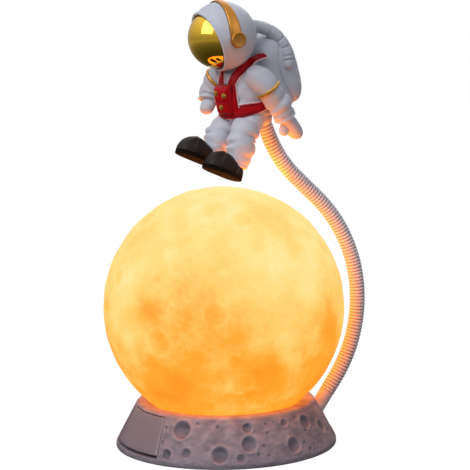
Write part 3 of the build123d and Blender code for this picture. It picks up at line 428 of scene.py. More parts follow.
# Lamps: name, place, height of the point on the axis that it faces, size, power, colour; then the moon's own
LAMPS = [
    ("key", (0.45, -0.95, 1.05), 0.16, 1.1, 13.5, (0.97, 0.985, 1.0)),
    ("fill", (1.2, 0.80, 0.90), 0.15, 0.9, 4.7, (0.93, 0.95, 1.0)),
    ("back", (-0.8, 0.6, 0.9), 0.18, 0.7, 3.5, (0.95, 0.97, 1.0)),
]
GLOW_POWER = 0.64
GLOW_COLOUR = (1.0, 0.205, 0.004)
GLOW_GAP = 0.15
CROWN_POWER = 0.075
CROWN_RADIUS = 40.0
CROWN_GAP = 1.0


def spread(count):
    """Angles spread evenly round a full turn."""
    return np.linspace(0, TURN, count, endpoint=False)


def unit(vectors):
    """Vectors brought to length one."""
    return vectors / np.linalg.norm(vectors, axis=-1, keepdims=True)


def swell(value, middle, width):
    """Bell curve of height one about a middle."""
    return np.exp(-((value - middle) / width) ** 2)


def past(value, start, end=1.0):
    """Share of the way from start to end, kept from 0 to 1."""
    return np.clip((value - start) / (end - start), 0, 1)


def ease(value, start, end):
    """Smooth step from 0 at start to 1 at end."""
    share = past(value, start, end)
    return share * share * (3 - 2 * share)


def squared(wave, power):
    """A sine or cosine raised to a power with its sign kept: below 1 it makes a round form squarer."""
    return np.sign(wave) * np.abs(wave) ** power


def rows_of(values, columns):
    """A value for each row, the same in every column."""
    return np.repeat(values[:, None], columns, 1)


def through(stations, places):
    """Catmull-Rom curve through rows of stations, at places from 0 to 1 spread evenly over the rows."""
    rows = np.asarray(stations, float)
    last = len(rows) - 1
    padded = np.vstack([2 * rows[0] - rows[1], rows, 2 * rows[-1] - rows[-2]])
    along = np.clip(places, 0, 1) * last
    index = np.minimum(along.astype(int), last - 1)
    part = (along - index)[:, None]
    before, start, end, after = (padded[index + step] for step in range(4))
    return 0.5 * (2 * start + (end - before) * part + (2 * before - 5 * start + 4 * end - after) * part ** 2
                  + (3 * start - before - 3 * end + after) * part ** 3)


def curve(stations, count):
    """So many points evenly along the curve through stations."""
    return through(stations, np.linspace(0, 1, count))


def ripples(points, size, wavelength, seed, count=18):
    """Smooth noise of about a size: sine waves of like length, in seeded directions, added up."""
    chance = np.random.default_rng(seed)
    ways = unit(chance.normal(size=(count, 3))) / (wavelength * chance.uniform(0.7, 1.4, (count, 1)))
    phases = chance.uniform(0, TURN, count)
    return size * np.sin(TURN * points @ ways.T + phases).sum(-1) / math.sqrt(count / 2)


def uneven(points, layers):
    """Several ripples added up."""
    return sum(ripples(points, *layer) for layer in layers)


def crater(apart, depth, power, lip, lip_place, lip_width):
    """Height of a crater of radius one at distances from its middle: a bowl with a lip round it."""
    return lip * swell(apart, lip_place, lip_width) - depth * np.clip(1 - apart ** 2, 0, 1) ** power


def around(radius, angle, height):
    """Points round the Z axis."""
    return np.stack([radius * np.cos(angle), radius * np.sin(angle), height + 0 * angle], -1)


def directions(polar, sides):
    """Unit directions in rows by their angle from +Z, spread evenly round Z."""
    return around(np.sin(polar)[:, None], spread(sides)[None], np.cos(polar)[:, None])


def angle_from(ways, middle):
    """Angles between directions and one direction."""
    return np.arccos(np.clip(ways @ middle, -1, 1))


def turned(points, degrees, axis):
    """Points turned about X, Y or Z (0, 1, 2) through the origin, by the right-hand rule."""
    points = np.asarray(points, float)
    cosine = math.cos(math.radians(degrees))
    sine = math.sin(math.radians(degrees))
    first, second = ((1, 2), (2, 0), (0, 1))[axis]
    moved = points.copy()
    moved[..., first] = cosine * points[..., first] - sine * points[..., second]
    moved[..., second] = sine * points[..., first] + cosine * points[..., second]
    return moved


def tube(centres, radii, guide, sides, flatness=1.0):
    """Rings square to a path: ring i has radius radii[i] at every angle, or radii[i, j] at angle j."""
    along = unit(np.gradient(centres, axis=0))
    across = unit(np.cross(along, np.asarray(guide)))
    other = np.cross(across, along)
    angle = spread(sides)[None, :, None]
    ring = np.cos(angle) * across[:, None] * flatness + np.sin(angle) * other[:, None]
    radii = radii[:, None] if radii.ndim == 1 else radii
    return centres[:, None] + radii[..., None] * ring


def lathe(profile, sides):
    """Surface of revolution about Z of (radius, height) rows."""
    return around(profile[:, :1], spread(sides), profile[:, 1:])


def closed(grid):
    """A grid of rings with a row added at each end, drawn together at the ring's middle."""
    ends = [np.broadcast_to(ring.mean(0), ring.shape)[None] for ring in (grid[0], grid[-1])]
    return np.concatenate([ends[0], grid, ends[1]])


def closed_shade(shade):
    """The shade of a closed grid's rows."""
    return np.pad(shade, ((1, 1), (0, 0)), "edge")


def quads(rows, columns, ring, start):
    """Quads of a grid of points numbered row by row from start. A ring's last column meets its first."""
    row, column = np.meshgrid(np.arange(rows - 1), np.arange(columns if ring else columns - 1), indexing="ij")
    after = (column + 1) % columns
    corners = [row * columns + column, row * columns + after, (row + 1) * columns + after,
               (row + 1) * columns + column]
    return start + np.stack(corners, -1).reshape(-1, 4)


def piece(name, grids, look, body, stands_for=(), shade=None):
    """Mesh of one or more grids, each (points, ring), with its seams and poles closed and its faces outwards.

    look is a finish and its slot; the slot is not used. shade gives each point a value, kept as an attribute
    that finishes read."""
    points = np.concatenate([grid.reshape(-1, 3) for grid, _ in grids]) * MM
    faces = []
    start = 0
    for grid, ring in grids:
        faces.append(quads(*grid.shape[:2], ring, start))
        start += grid.shape[0] * grid.shape[1]
    faces = np.concatenate(faces)
    mesh = bpy.data.meshes.new(name)
    mesh.vertices.add(len(points))
    mesh.vertices.foreach_set("co", points.ravel())
    mesh.loops.add(faces.size)
    mesh.loops.foreach_set("vertex_index", faces.ravel())
    mesh.polygons.add(len(faces))
    mesh.polygons.foreach_set("loop_start", np.arange(0, faces.size, 4))
    mesh.update(calc_edges=True)
    if shade is not None:
        values = np.concatenate([part.ravel() for part in shade]).astype(np.float32)
        mesh.attributes.new("shade", "FLOAT", "POINT").data.foreach_set("value", values)
    work = bmesh.new()
    work.from_mesh(mesh)
    bmesh.ops.remove_doubles(work, verts=work.verts, dist=WELD)
    bmesh.ops.recalc_face_normals(work, faces=work.faces)
    work.to_mesh(mesh)
    work.free()
    mesh.polygons.foreach_set("use_smooth", np.ones(len(mesh.polygons), bool))
    finish, slot = look
    mesh.materials.append(finish)
    made = bpy.data.objects.new(name, mesh)
    bpy.context.scene.collection.objects.link(made)
    if stands_for:
        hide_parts(*stands_for)
    if body:
        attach(made, body)
    return made


class Value:
    """A number, colour or shader that a node tree works out: arithmetic on it adds Math nodes."""

    def __init__(self, tree, socket):
        self.tree = tree
        self.socket = socket

    def math(self, operation, other):
        return self.tree.value("ShaderNodeMath", {"operation": operation}, {0: self, 1: other})

    def __add__(self, other):
        return self.math("ADD", other)

    def __sub__(self, other):
        return self.math("SUBTRACT", other)

    def __rsub__(self, other):
        return self * -1 + other

    def __mul__(self, other):
        return self.math("MULTIPLY", other)

    __radd__ = __add__
    __rmul__ = __mul__

    def between(self, low, high):
        """Share of the way from low to high, smoothed and kept from 0 to 1."""
        return self.tree.remap(self, (low, high), (0.0, 1.0), "SMOOTHSTEP")


class Tree:
    """A node tree: node() adds a node with its settings and inputs, and value() gives a new node's output."""

    def __init__(self, tree):
        self.tree = tree

    def feed(self, socket, value):
        if isinstance(value, Value):
            self.tree.links.new(value.socket, socket)
        elif socket.type == "RGBA":
            socket.default_value = (*value, 1.0)
        else:
            socket.default_value = value

    def node(self, kind, settings=None, inputs=None):
        made = self.tree.nodes.new(kind)
        for key, value in (settings or {}).items():
            setattr(made, key, value)
        for key, value in (inputs or {}).items():
            self.feed(made.inputs[key], value)
        return made

    def value(self, kind, settings=None, inputs=None, output=0):
        return Value(self, self.node(kind, settings, inputs).outputs[output])

    def remap(self, value, reach, result, kind="LINEAR"):
        """A value's way through one range carried over to another."""
        sockets = ("From Min", "From Max", "To Min", "To Max")
        inputs = {"Value": value, **dict(zip(sockets, (*reach, *result)))}
        return self.value("ShaderNodeMapRange", {"interpolation_type": kind}, inputs)

    def ray(self, kind):
        """One for rays of a kind, such as those from the camera, and zero for the others."""
        return self.value("ShaderNodeLightPath", output=kind)

    def pick(self, share, first, second):
        """Number that goes from the first to the second."""
        return self.value("ShaderNodeMix", {"data_type": "FLOAT"}, {0: share, 2: first, 3: second})

    def mix(self, share, first, second):
        """Colour that goes from the first to the second."""
        return self.value("ShaderNodeMix", {"data_type": "RGBA"}, {0: share, 6: first, 7: second}, 2)


class Finish(Tree):
    """One material: set() feeds its shader."""

    def __init__(self, name):
        self.material = bpy.data.materials.new(name)
        self.material.use_nodes = True
        super().__init__(self.material.node_tree)
        self.shader = self.tree.nodes["Principled BSDF"]
        self.place = self.value("ShaderNodeTexCoord", output="Object")

    def noise(self, scale, detail, roughness, stretch=None):
        """Noise of so many waves to the metre, stretched by a factor along each axis."""
        place = self.place
        if stretch:
            place = self.value("ShaderNodeMapping", {}, {"Vector": place, "Scale": stretch})
        inputs = {"Vector": place, "Scale": scale, "Detail": detail, "Roughness": roughness}
        return self.value("ShaderNodeTexNoise", {}, inputs)

    def cells(self, scale):
        """Distance to the nearest of points scattered so many to the metre."""
        return self.value("ShaderNodeTexVoronoi", {}, {"Vector": self.place, "Scale": scale})

    def shade(self):
        """The value the piece keeps at each point: mostly painted shade, a painted highlight on the boots."""
        return self.value("ShaderNodeAttribute", {"attribute_name": "shade"}, output="Fac")

    def ramp(self, value, stops):
        """Colour ramp through stops of (place, colour)."""
        made = self.node("ShaderNodeValToRGB", {}, {"Fac": value})
        elements = made.color_ramp.elements
        while len(elements) < len(stops):
            elements.new(0.5)
        for element, (place, colour) in zip(elements, stops):
            element.position = place
            element.color = (*colour, 1.0)
        return Value(self, made.outputs[0])

    def bump(self, height, depth, strength):
        """Normal from a height of 0 to 1 that stands for a depth in metres."""
        return self.value("ShaderNodeBump", {}, {"Height": height, "Distance": depth, "Strength": strength})

    def set(self, **inputs):
        for key, value in inputs.items():
            self.feed(self.shader.inputs[key.replace("_", " ")], value)
        return self.material


def moon_finish():
    """Shell lit from inside: broad pale and orange patches, mottled and speckled like the moon."""
    finish = Finish("moon_glow")
    maria = finish.noise(34, 7.0, 0.62)
    mottle = finish.noise(105, 8.0, 0.68)
    grain = finish.noise(420, 3.0, 0.6)
    specks = finish.cells(120).between(0.0, 0.20)
    tone = finish.shade() + maria * 0.46 + mottle * 0.40 + grain * 0.10 + specks * 0.10 - 0.575
    glow = finish.ramp(tone, [
        (0.0, (1.0, 0.180, 0.006)), (0.25, (1.0, 0.230, 0.015)), (0.50, (1.0, 0.345, 0.072)),
        (0.75, (1.0, 0.415, 0.125)), (1.0, (1.0, 0.480, 0.205)),
    ])
    relief = finish.bump(maria * 0.5 + mottle * 0.5, 0.0006, 0.5)
    return finish.set(Base_Color=(0.08, 0.05, 0.022), Roughness=0.62, Normal=relief,
                      Emission_Color=glow, Emission_Strength=1.55)


def regolith_finish():
    """Matt grey plastic like moon dust, streaked, with painted shade: darker in the hollows."""
    finish = Finish("base_regolith")
    broad = finish.noise(34, 4.0, 0.55)
    streaks = finish.noise(230, 6.0, 0.68, (0.40, 0.40, 1.5))
    grit = finish.noise(1400, 2.0, 0.5)
    colour = finish.ramp(broad * 0.60 + streaks * 0.85 + finish.shade() * 0.40 - 0.32, [
        (0.0, (0.054, 0.050, 0.070)), (0.40, (0.118, 0.110, 0.145)), (0.65, (0.190, 0.178, 0.222)),
        (1.0, (0.305, 0.288, 0.345)),
    ])
    return finish.set(Base_Color=colour, Roughness=streaks * 0.22 + 0.52,
                      Normal=finish.bump(streaks * 0.7 + grit * 0.3, 0.0006, 0.6))


def panel_finish():
    """Smooth satin grey plastic with a very fine grain."""
    finish = Finish("panel_satin")
    broad = finish.noise(30, 2.0, 0.5)
    grit = finish.noise(1900, 2.0, 0.5)
    colour = finish.mix(broad, (0.134, 0.108, 0.136), (0.184, 0.150, 0.184))
    return finish.set(Base_Color=colour, Roughness=broad * 0.10 + 0.30, Specular_IOR_Level=0.9,
                      Normal=finish.bump(grit, 0.0001, 0.35))


def suit_finish():
    """White paint over sculpted folds, with painted shade: cool grey in creases, dents and recesses."""
    finish = Finish("suit_paint")
    cloud = finish.noise(95, 3.0, 0.5)
    grain = finish.noise(1500, 2.0, 0.5)
    colour_before_shade = finish.mix(cloud, (0.540, 0.560, 0.650), (0.620, 0.635, 0.710))
    colour = finish.mix(finish.shade().between(0.0, 1.0), colour_before_shade, (0.330, 0.345, 0.440))
    return finish.set(Base_Color=colour, Roughness=cloud * 0.14 + 0.46, Specular_IOR_Level=0.42,
                      Normal=finish.bump(grain * 0.4 + cloud * 0.6, 0.00025, 0.35))


def visor_finish():
    """Mirror gold plating."""
    finish = Finish("visor_gold")
    haze = finish.noise(120, 3.0, 0.5)
    colour = finish.mix(haze, (0.830, 0.490, 0.035), (0.900, 0.580, 0.070))
    return finish.set(Base_Color=colour, Metallic=1.0, Roughness=haze * 0.04 + 0.02)


def metal_paint(name, low, high, dark, roughness):
    """Metallic paint, a little cloudy, with a fine sparkle, darker where the piece's shade value is high."""
    finish = Finish(name)
    cloud = finish.noise(160, 4.0, 0.6)
    sparkle = finish.noise(2600, 2.0, 0.6)
    colour_before_shade = finish.mix(cloud * 0.7 + sparkle * 0.3, low, high)
    # The mix towards dark is painted shade in grooves and along edges, and the own darker tone of ear faces
    # and knobs.
    colour = finish.mix(finish.shade().between(0.0, 1.0), colour_before_shade, dark)
    return finish.set(Base_Color=colour, Metallic=0.55, Roughness=cloud * 0.16 + roughness,
                      Normal=finish.bump(sparkle, 0.00008, 0.5))


def harness_finish():
    """Satin red enamel, with painted shade: a darker red in the grooves and at the chest box's edges."""
    finish = Finish("harness_enamel")
    cloud = finish.noise(140, 3.0, 0.5)
    brush = finish.noise(700, 3.0, 0.6)
    red = finish.mix(cloud, (0.390, 0.0010, 0.004), (0.510, 0.0018, 0.008))
    colour = finish.mix(finish.shade().between(0.0, 1.0), red, (0.120, 0.002, 0.008))
    return finish.set(Base_Color=colour, Roughness=cloud * 0.14 + 0.40, Specular_IOR_Level=0.15,
                      Normal=finish.bump(brush, 0.00012, 0.4))


def edging_finish():
    """Pale pink-white edging of the harness."""
    finish = Finish("harness_edging")
    cloud = finish.noise(420, 3.0, 0.5)
    colour = finish.mix(cloud, (0.720, 0.520, 0.570), (0.800, 0.680, 0.720))
    return finish.set(Base_Color=colour, Roughness=cloud * 0.1 + 0.42)


def boot_finish():
    """Black-brown leather look: fine grain, and a painted highlight of lighter brown on the seam ridges."""
    finish = Finish("boot_leather")
    cloud = finish.noise(120, 4.0, 0.6)
    dark = finish.mix(cloud, (0.0062, 0.0032, 0.0026), (0.017, 0.0092, 0.0072))
    colour = finish.mix(finish.shade().between(0.1, 0.9), dark, (0.100, 0.066, 0.052))
    return finish.set(Base_Color=colour, Roughness=cloud * 0.20 + 0.40, Specular_IOR_Level=0.2,
                      Normal=finish.bump(finish.cells(950), 0.0002, 0.3))


def hose_finish():
    """Satin white hose, with painted shade: greyer in the valleys between the ribs."""
    finish = Finish("hose_white")
    cloud = finish.noise(110, 3.0, 0.5)
    colour_before_shade = finish.mix(cloud, (0.740, 0.730, 0.790), (0.800, 0.790, 0.840))
    colour = finish.mix(finish.shade(), colour_before_shade, (0.250, 0.225, 0.310))
    return finish.set(Base_Color=colour, Roughness=cloud * 0.12 + 0.36)


def plain_finish(name, low, high, roughness, metallic=0.0, specular=0.5):
    """Moulded or rolled surface: two near colours in a fine grain."""
    finish = Finish(name)
    cloud = finish.noise(300.0, 3.0, 0.55)
    grain = finish.noise(1800.0, 2.0, 0.5)
    return finish.set(Base_Color=finish.mix(cloud, low, high), Metallic=metallic, Specular_IOR_Level=specular,
                      Roughness=cloud * 0.15 + roughness, Normal=finish.bump(grain, 0.0001, 0.3))


# Looks: each a finish and its slot
MOON = (moon_finish(), "moon_glow")
REGOLITH = (regolith_finish(), "base_grey")
PANEL = (panel_finish(), "panel_grey")
HOSE = (hose_finish(), "hose_white")
SUIT = (suit_finish(), "suit_white")
VISOR = (visor_finish(), "visor_gold")
RED = (harness_finish(), "harness_red")
EDGING = (edging_finish(), "suit_white")
BRONZE = (metal_paint("trim_bronze", (0.40, 0.15, 0.012), (0.58, 0.255, 0.03), (0.08, 0.032, 0.006), 0.30),
          "trim_bronze")
GOLD = (metal_paint("trim_gold", (0.520, 0.240, 0.030), (0.720, 0.390, 0.075), (0.110, 0.045, 0.008), 0.24),
        "trim_gold")
BOOT = (boot_finish(), "boot_black")
BLACK = (plain_finish("sole_black", (0.0045, 0.0034, 0.0030), (0.0095, 0.0070, 0.0060), 0.80, specular=0.08),
         "sole_black")

# Solids that stay as they are, with their finish: low and high colour, roughness, metallic
INNER_FINISHES = [
    (["cover_screws", "usb_socket", "panel_hinge_pin", "ferrule_washer", "ferrule_nut"],
     "steel", (0.40, 0.40, 0.41), (0.52, 0.52, 0.53), 0.28, 1.0),
    (["bottom_cover"], "cover_grey", (0.060, 0.056, 0.062), (0.085, 0.078, 0.088), 0.50),
    (["antislip_pad"], "pad_rubber", (0.010, 0.010, 0.011), (0.020, 0.020, 0.021), 0.70),
    (["globe_ring"], "inner_white", (0.66, 0.66, 0.64), (0.74, 0.74, 0.72), 0.50),
    (["led_board"], "board_white", (0.70, 0.71, 0.72), (0.78, 0.79, 0.80), 0.42),
    (["led_chips"], "chip_yellow", (0.78, 0.58, 0.10), (0.86, 0.68, 0.16), 0.40),
    (["battery_cell"], "cell_foil", (0.42, 0.43, 0.46), (0.54, 0.55, 0.58), 0.32, 0.9),
    (["control_board", "switch_board"], "board_green", (0.006, 0.075, 0.022), (0.012, 0.110, 0.034), 0.36),
    (["battery_lead", "light_lead", "switch_lead"],
     "lead_red", (0.22, 0.005, 0.005), (0.30, 0.010, 0.010), 0.42),
    (["tact_switch", "switch_plunger"], "switch_black", (0.006, 0.006, 0.006), (0.012, 0.012, 0.012), 0.44),
    (["lower_ferrule", "upper_ferrule"], "ferrule_white", (0.560, 0.565, 0.600), (0.650, 0.655, 0.685), 0.34),
]


def dress_inner_nodes():
    """Gives the solids that stay their finishes."""
    for dressed, *settings in INNER_FINISHES:
        finish = plain_finish(*settings)
        for node in dressed:
            nodes[node].data.materials.clear()
            nodes[node].data.materials.append(finish)


def moon_tone(ways):
    """Brightness over the moon: paler upwards, plus bell-shaped patches, repeated turned on the far side."""
    tone = MOON_MEAN_TONE + MOON_TONE_RISE * ways[..., 2]
    for turn in (0, MOON_FAR_TURN):
        for degrees, height, reach, strength in MOON_PATCHES:
            middle = around(math.sqrt(1 - height ** 2), math.radians(degrees + turn), height)
            tone = tone + strength * swell(angle_from(ways, middle), 0, reach)
    return tone


def make_moon():
    """Ball with shallow craters: the radius at each direction is the globe's, less bowls, plus their lips.

    Below the ball is the short neck that sits in the base."""
    rows, sides = MOON_GRID
    last = math.pi - math.asin(GLOBE_NECK_RADIUS / GLOBE_RADIUS)
    ways = directions(np.linspace(0, last, rows), sides)
    relief = uneven(ways * GLOBE_RADIUS, MOON_RIPPLES)
    chance = np.random.default_rng(MOON_CRATER_SEED)
    for middle in unit(chance.normal(size=(MOON_CRATERS, 3))):
        radius = MOON_CRATER_LEAST + MOON_CRATER_SPAN * chance.random() ** 3
        relief += radius * crater(angle_from(ways, middle) * GLOBE_RADIUS / radius, *MOON_CRATER)
    relief *= ease(GLOBE_HEIGHT + GLOBE_RADIUS * ways[..., 2], *MOON_RELIEF_FADE)
    radius = GLOBE_RADIUS - MOON_RELIEF_ROOM + np.minimum(relief, MOON_RELIEF_ROOM)
    ball = GLOBE_CENTRE + ways * radius[..., None]
    inner = GLOBE_NECK_RADIUS - GLOBE_WALL
    neck_top = ball[-1, 0, 2]
    neck = lathe(np.array([
        (GLOBE_NECK_RADIUS, neck_top), (GLOBE_NECK_RADIUS, GLOBE_NECK_BOTTOM), (inner, GLOBE_NECK_BOTTOM),
        (inner, neck_top + GLOBE_WALL),
    ]), sides)
    shade = [moon_tone(ways) + MOON_RELIEF_TONE * relief, np.full(neck.shape[:2], MOON_NECK_TONE)]
    piece("moon", [(ball, True), (neck, True)], MOON, "base", ["moon_globe"], shade)


def side_radius(height):
    """Outer radius of the base's side at a height."""
    return BASE_RADIUS - BASE_SIDE_RUN * (height - BASE_RIM_HEIGHT)


def base_relief(angle, height):
    """How far the base's side stands out: crater bowls with lips, small pits and a gentle unevenness."""
    radius = side_radius(height)
    relief = uneven(around(radius, angle, height), BASE_RIPPLES)
    chance = np.random.default_rng(PIT_SEED)
    pits = np.stack([chance.uniform(*reach, PIT_COUNT) for reach in PIT_RANGES], -1)
    for degrees, middle, size in [*CRATERS, *pits]:
        gap = np.mod(angle - math.radians(degrees) + math.pi, TURN) - math.pi
        apart = np.hypot(gap * radius, (height - middle) * BASE_SIDE_STRETCH) / size
        relief += size * crater(apart, *BASE_CRATER)
    return relief


def sink_socket(points):
    """Points of the skin over the charging recess pushed in to its floor or to the slot round the socket."""
    local = turned(points, -SOCKET_ANGLE, 2)
    across = np.abs(local[..., 1])
    up = np.abs(local[..., 2] - SOCKET_HEIGHT)
    facing = local[..., 0] > SOCKET_SLOT_FLOOR
    recess = facing & (across < SOCKET_RECESS[0] / 2) & (up < SOCKET_RECESS[1] / 2)
    slot = facing & (across < SOCKET_SLOT[0] / 2) & (up < SOCKET_SLOT[1] / 2)
    local[..., 0] = np.where(recess, np.minimum(local[..., 0], SOCKET_FLOOR), local[..., 0])
    local[..., 0] = np.where(slot, SOCKET_SLOT_FLOOR, local[..., 0])
    return turned(local, SOCKET_ANGLE, 2)


def base_skin(angle, radius, height, weight):
    """Points of the base's skin, moved out square to its side by the relief times a weight; their shade."""
    relief = base_relief(angle, height + 0 * angle) * weight
    out = relief / BASE_SIDE_STRETCH
    # The shade returned is painted shade: darker in the hollows, a little lighter on the raised lips.
    return sink_socket(around(radius + out, angle, height + out * BASE_SIDE_RUN)), ease(relief, *BASE_SHADE)


def panel_half(height):
    """Half width of the panel at a height."""
    share = (height - PANEL_BOTTOM) / (PANEL_TOP - PANEL_BOTTOM)
    return PANEL_BOTTOM_HALF + share * (PANEL_TOP_HALF - PANEL_BOTTOM_HALF)


def side_angles(height):
    """Angles of the base's columns at a height: from one edge of the opening round the back to the other."""
    edge = math.asin((panel_half(height) + PANEL_SEAM) / side_radius(height))
    return np.linspace(edge, TURN - edge, BASE_GRID[1]) - math.pi / 2


def whole_turn(height):
    """Angles of the base's columns at a height, carried on across the front over the opening."""
    angles = side_angles(height)
    return np.concatenate([angles, np.linspace(angles[-1], angles[0] + TURN, PANEL_FRAME_COLUMNS)[1:-1]])


def rim_profile(top):
    """Rows of radius, height and relief's weight: down the rim's inside, round its foot, up to the side."""
    inner = BASE_RADIUS - BASE_WALL * BASE_SIDE_STRETCH
    rounded = 0.3 * BASE_RIM_ROUND
    return np.array([
        (inner, BASE_RIM_HEIGHT, 0), (inner, BASE_BOTTOM, 0), (BASE_RADIUS - BASE_RIM_ROUND, BASE_BOTTOM, 0),
        (BASE_RADIUS - rounded, BASE_BOTTOM + rounded, 0), (BASE_RADIUS, BASE_BOTTOM + BASE_RIM_ROUND, 0),
        (BASE_RADIUS, (BASE_RIM_HEIGHT + BASE_BOTTOM) / 2, 0.2),
        (BASE_RADIUS - 0.1, BASE_RIM_HEIGHT - 0.3, 0.5),
        (side_radius(BASE_RIM_BLEND), BASE_RIM_BLEND, 0.8), (side_radius(top), top, 1.0),
    ])


def top_profile(bottom):
    """Rows of radius, height and relief's weight: over the rounded edge, along the top and down the seat."""
    slope = math.atan(BASE_SIDE_RUN)
    middle = side_radius(BASE_HEIGHT) - BASE_EDGE_ROUND * math.tan((math.pi / 2 - slope) / 2)
    arc = np.linspace(slope, math.pi / 2, BASE_EDGE_ROWS)
    edge = np.stack([middle + BASE_EDGE_ROUND * np.cos(arc),
                     BASE_HEIGHT - BASE_EDGE_ROUND * (1 - np.sin(arc)),
                     np.linspace(1.0, 0.4, BASE_EDGE_ROWS)], -1)
    seat_top = math.sqrt(SEAT_RADIUS ** 2 - (GLOBE_HEIGHT - BASE_HEIGHT) ** 2)
    reach = np.linspace(seat_top - 0.35, SEAT_HOLE_RADIUS, SEAT_ROWS)
    seat = np.stack([reach, GLOBE_HEIGHT - np.sqrt(SEAT_RADIUS ** 2 - reach ** 2), 0 * reach], -1)
    ledge = [(seat_top + 0.5, BASE_HEIGHT, 0.3), (seat_top, BASE_HEIGHT - 0.1, 0.0)]
    return np.concatenate([[(side_radius(bottom), bottom, 1.0)], edge, ledge, seat])


def inward(line):
    """Wall from a line of the skin straight in towards the axis."""
    steps = np.linspace(0, BASE_WALL * BASE_SIDE_STRETCH, BASE_WALL_STEPS)[:, None, None]
    return line - unit(line * (1.0, 1.0, 0.0)) * steps


def make_base():
    """Cratered skin in three strips that share their edges: a rim below the panel's opening, the side, which
    runs round the back from one edge of the opening to the other, and the top with its rounded edge and seat.
    Walls go in from the opening's four edges."""
    low = PANEL_BOTTOM - PANEL_BOTTOM_GAP
    high = PANEL_TOP + PANEL_SEAM
    heights = np.linspace(low, high, BASE_GRID[0])
    angles = np.stack([side_angles(height) for height in heights])
    radius = side_radius(heights)[:, None]
    edge_gap = np.minimum(angles - angles[:, :1], angles[:, -1:] - angles) * radius
    side, side_shade = base_skin(angles, radius, heights[:, None], ease(edge_gap, *BASE_OPENING_FADE))
    strips = []
    for profile, level in ((rim_profile(low), low), (top_profile(high), high)):
        strips.append(base_skin(whole_turn(level)[None], profile[:, :1], profile[:, 1:2], profile[:, 2:]))
    (rim, rim_shade), (top, top_shade) = strips
    front = np.r_[BASE_GRID[1] - 1:rim.shape[1], 0]
    walls = [inward(line) for line in (rim[-1, front], top[0, front], side[:, 0], side[:, -1])]
    grids = [(rim, True), (side, False), (top, True)] + [(wall, False) for wall in walls]
    # The walls of the panel's opening get a darker painted shade for the gap's shadow.
    shade = [rim_shade, side_shade, top_shade] + [np.full(wall.shape[:2], BASE_WALL_PAINTED_SHADE) for wall in walls]
    piece("cratered_base", grids, REGOLITH, "base", ["base_shell"], shade)


def edged(size, count):
    """Shares from 0 to 1 across a size, with the panel's edge at both ends, and the depth at each of them."""
    inset, depth = PANEL_EDGE.T
    half = len(inset) // 2
    share = np.concatenate([inset / size, np.linspace(0, 1, count)[half:-half], 1 - inset[::-1] / size])
    return share, np.concatenate([depth, np.zeros(count - 2 * half), depth[::-1]])


def make_panel():
    """Panel on the base's cone: across and up run to the edges, then turn in over a small round."""
    rise = PANEL_TOP - PANEL_BOTTOM
    up, up_depth = edged(rise, PANEL_GRID[0])
    across, across_depth = edged(2 * PANEL_BOTTOM_HALF, PANEL_GRID[1])
    height = PANEL_BOTTOM + up[:, None] * rise
    x = (2 * across - 1) * panel_half(height)
    radius = side_radius(height)
    y = -np.sqrt(radius ** 2 - x ** 2)
    out = np.stack([x / radius, y / radius, BASE_SIDE_RUN + 0 * x], -1) / BASE_SIDE_STRETCH
    skin = np.stack([x, y, height + 0 * x], -1)
    face = skin - out * np.maximum(across_depth, up_depth[:, None])[..., None]
    back = face.copy()
    back[1:-1, 1:-1] = (skin - out * PANEL_THICKNESS)[1:-1, 1:-1]
    piece("switch_panel", [(face, False), (back[:, ::-1], False)], PANEL, "panel", ["front_panel"])


def heading(degrees):
    """Unit directions in the YZ plane by their angles above +Y."""
    radians = np.radians(degrees)
    return np.stack([0 * radians, np.cos(radians), np.sin(radians)], -1)


NECK_ARC_RADIUS = GLOBE_RADIUS + NECK_GAP + NECK_RADIUS
NECK_ARC_START = GLOBE_CENTRE + heading(NECK_BASE_ANGLE - 90) * NECK_ARC_RADIUS
NECK_START = NECK_ARC_START - heading(NECK_BASE_ANGLE) * NECK_BASE_STRAIGHT
NECK_ARC_END = GLOBE_CENTRE + heading(NECK_LEAN_ANGLE - 90) * NECK_ARC_RADIUS
NECK_BEND_START = NECK_ARC_END + heading(NECK_LEAN_ANGLE) * NECK_LEAN_STRAIGHT
NECK_BEND_CENTRE = NECK_BEND_START + heading(NECK_LEAN_ANGLE - 90) * NECK_BEND_RADIUS
NECK_BEND_END = NECK_BEND_CENTRE - heading(NECK_END_ANGLE - 90) * NECK_BEND_RADIUS
NECK_END = NECK_BEND_END + heading(NECK_END_ANGLE) * NECK_END_STRAIGHT
NECK_ARC_LENGTH = math.radians(NECK_LEAN_ANGLE - NECK_BASE_ANGLE) * NECK_ARC_RADIUS
NECK_BEND_LENGTH = math.radians(NECK_LEAN_ANGLE - NECK_END_ANGLE) * NECK_BEND_RADIUS
NECK_LENGTHS = [NECK_BASE_STRAIGHT, NECK_ARC_LENGTH, NECK_LEAN_STRAIGHT, NECK_BEND_LENGTH, NECK_END_STRAIGHT]
NECK_PITCH = sum(NECK_LENGTHS) / NECK_RIBS
FIGURE_BACK = turned((0.0, 1.0, 0.0), FIGURE_TURN, 2)
FIGURE_ORIGIN = NECK_END - FIGURE_BACK * FIGURE_SOCKET_BACK


def neck_line(ribs):
    """Points on the gooseneck's middle line: straight, arc round the moon, straight, arc back, straight."""
    distance = ribs * NECK_PITCH
    ends = np.cumsum(NECK_LENGTHS)
    arc_angle = NECK_BASE_ANGLE + np.degrees((distance - ends[0]) / NECK_ARC_RADIUS)
    bend_angle = NECK_LEAN_ANGLE - np.degrees((distance - ends[2]) / NECK_BEND_RADIUS)
    stretches = [
        NECK_START + heading(NECK_BASE_ANGLE) * distance[:, None],
        GLOBE_CENTRE + heading(arc_angle - 90) * NECK_ARC_RADIUS,
        NECK_ARC_END + heading(NECK_LEAN_ANGLE) * (distance - ends[1])[:, None],
        NECK_BEND_CENTRE - heading(bend_angle - 90) * NECK_BEND_RADIUS,
        NECK_BEND_END + heading(NECK_END_ANGLE) * (distance - ends[3])[:, None],
    ]
    return np.choose(np.searchsorted(ends[:-1], distance)[:, None], stretches)


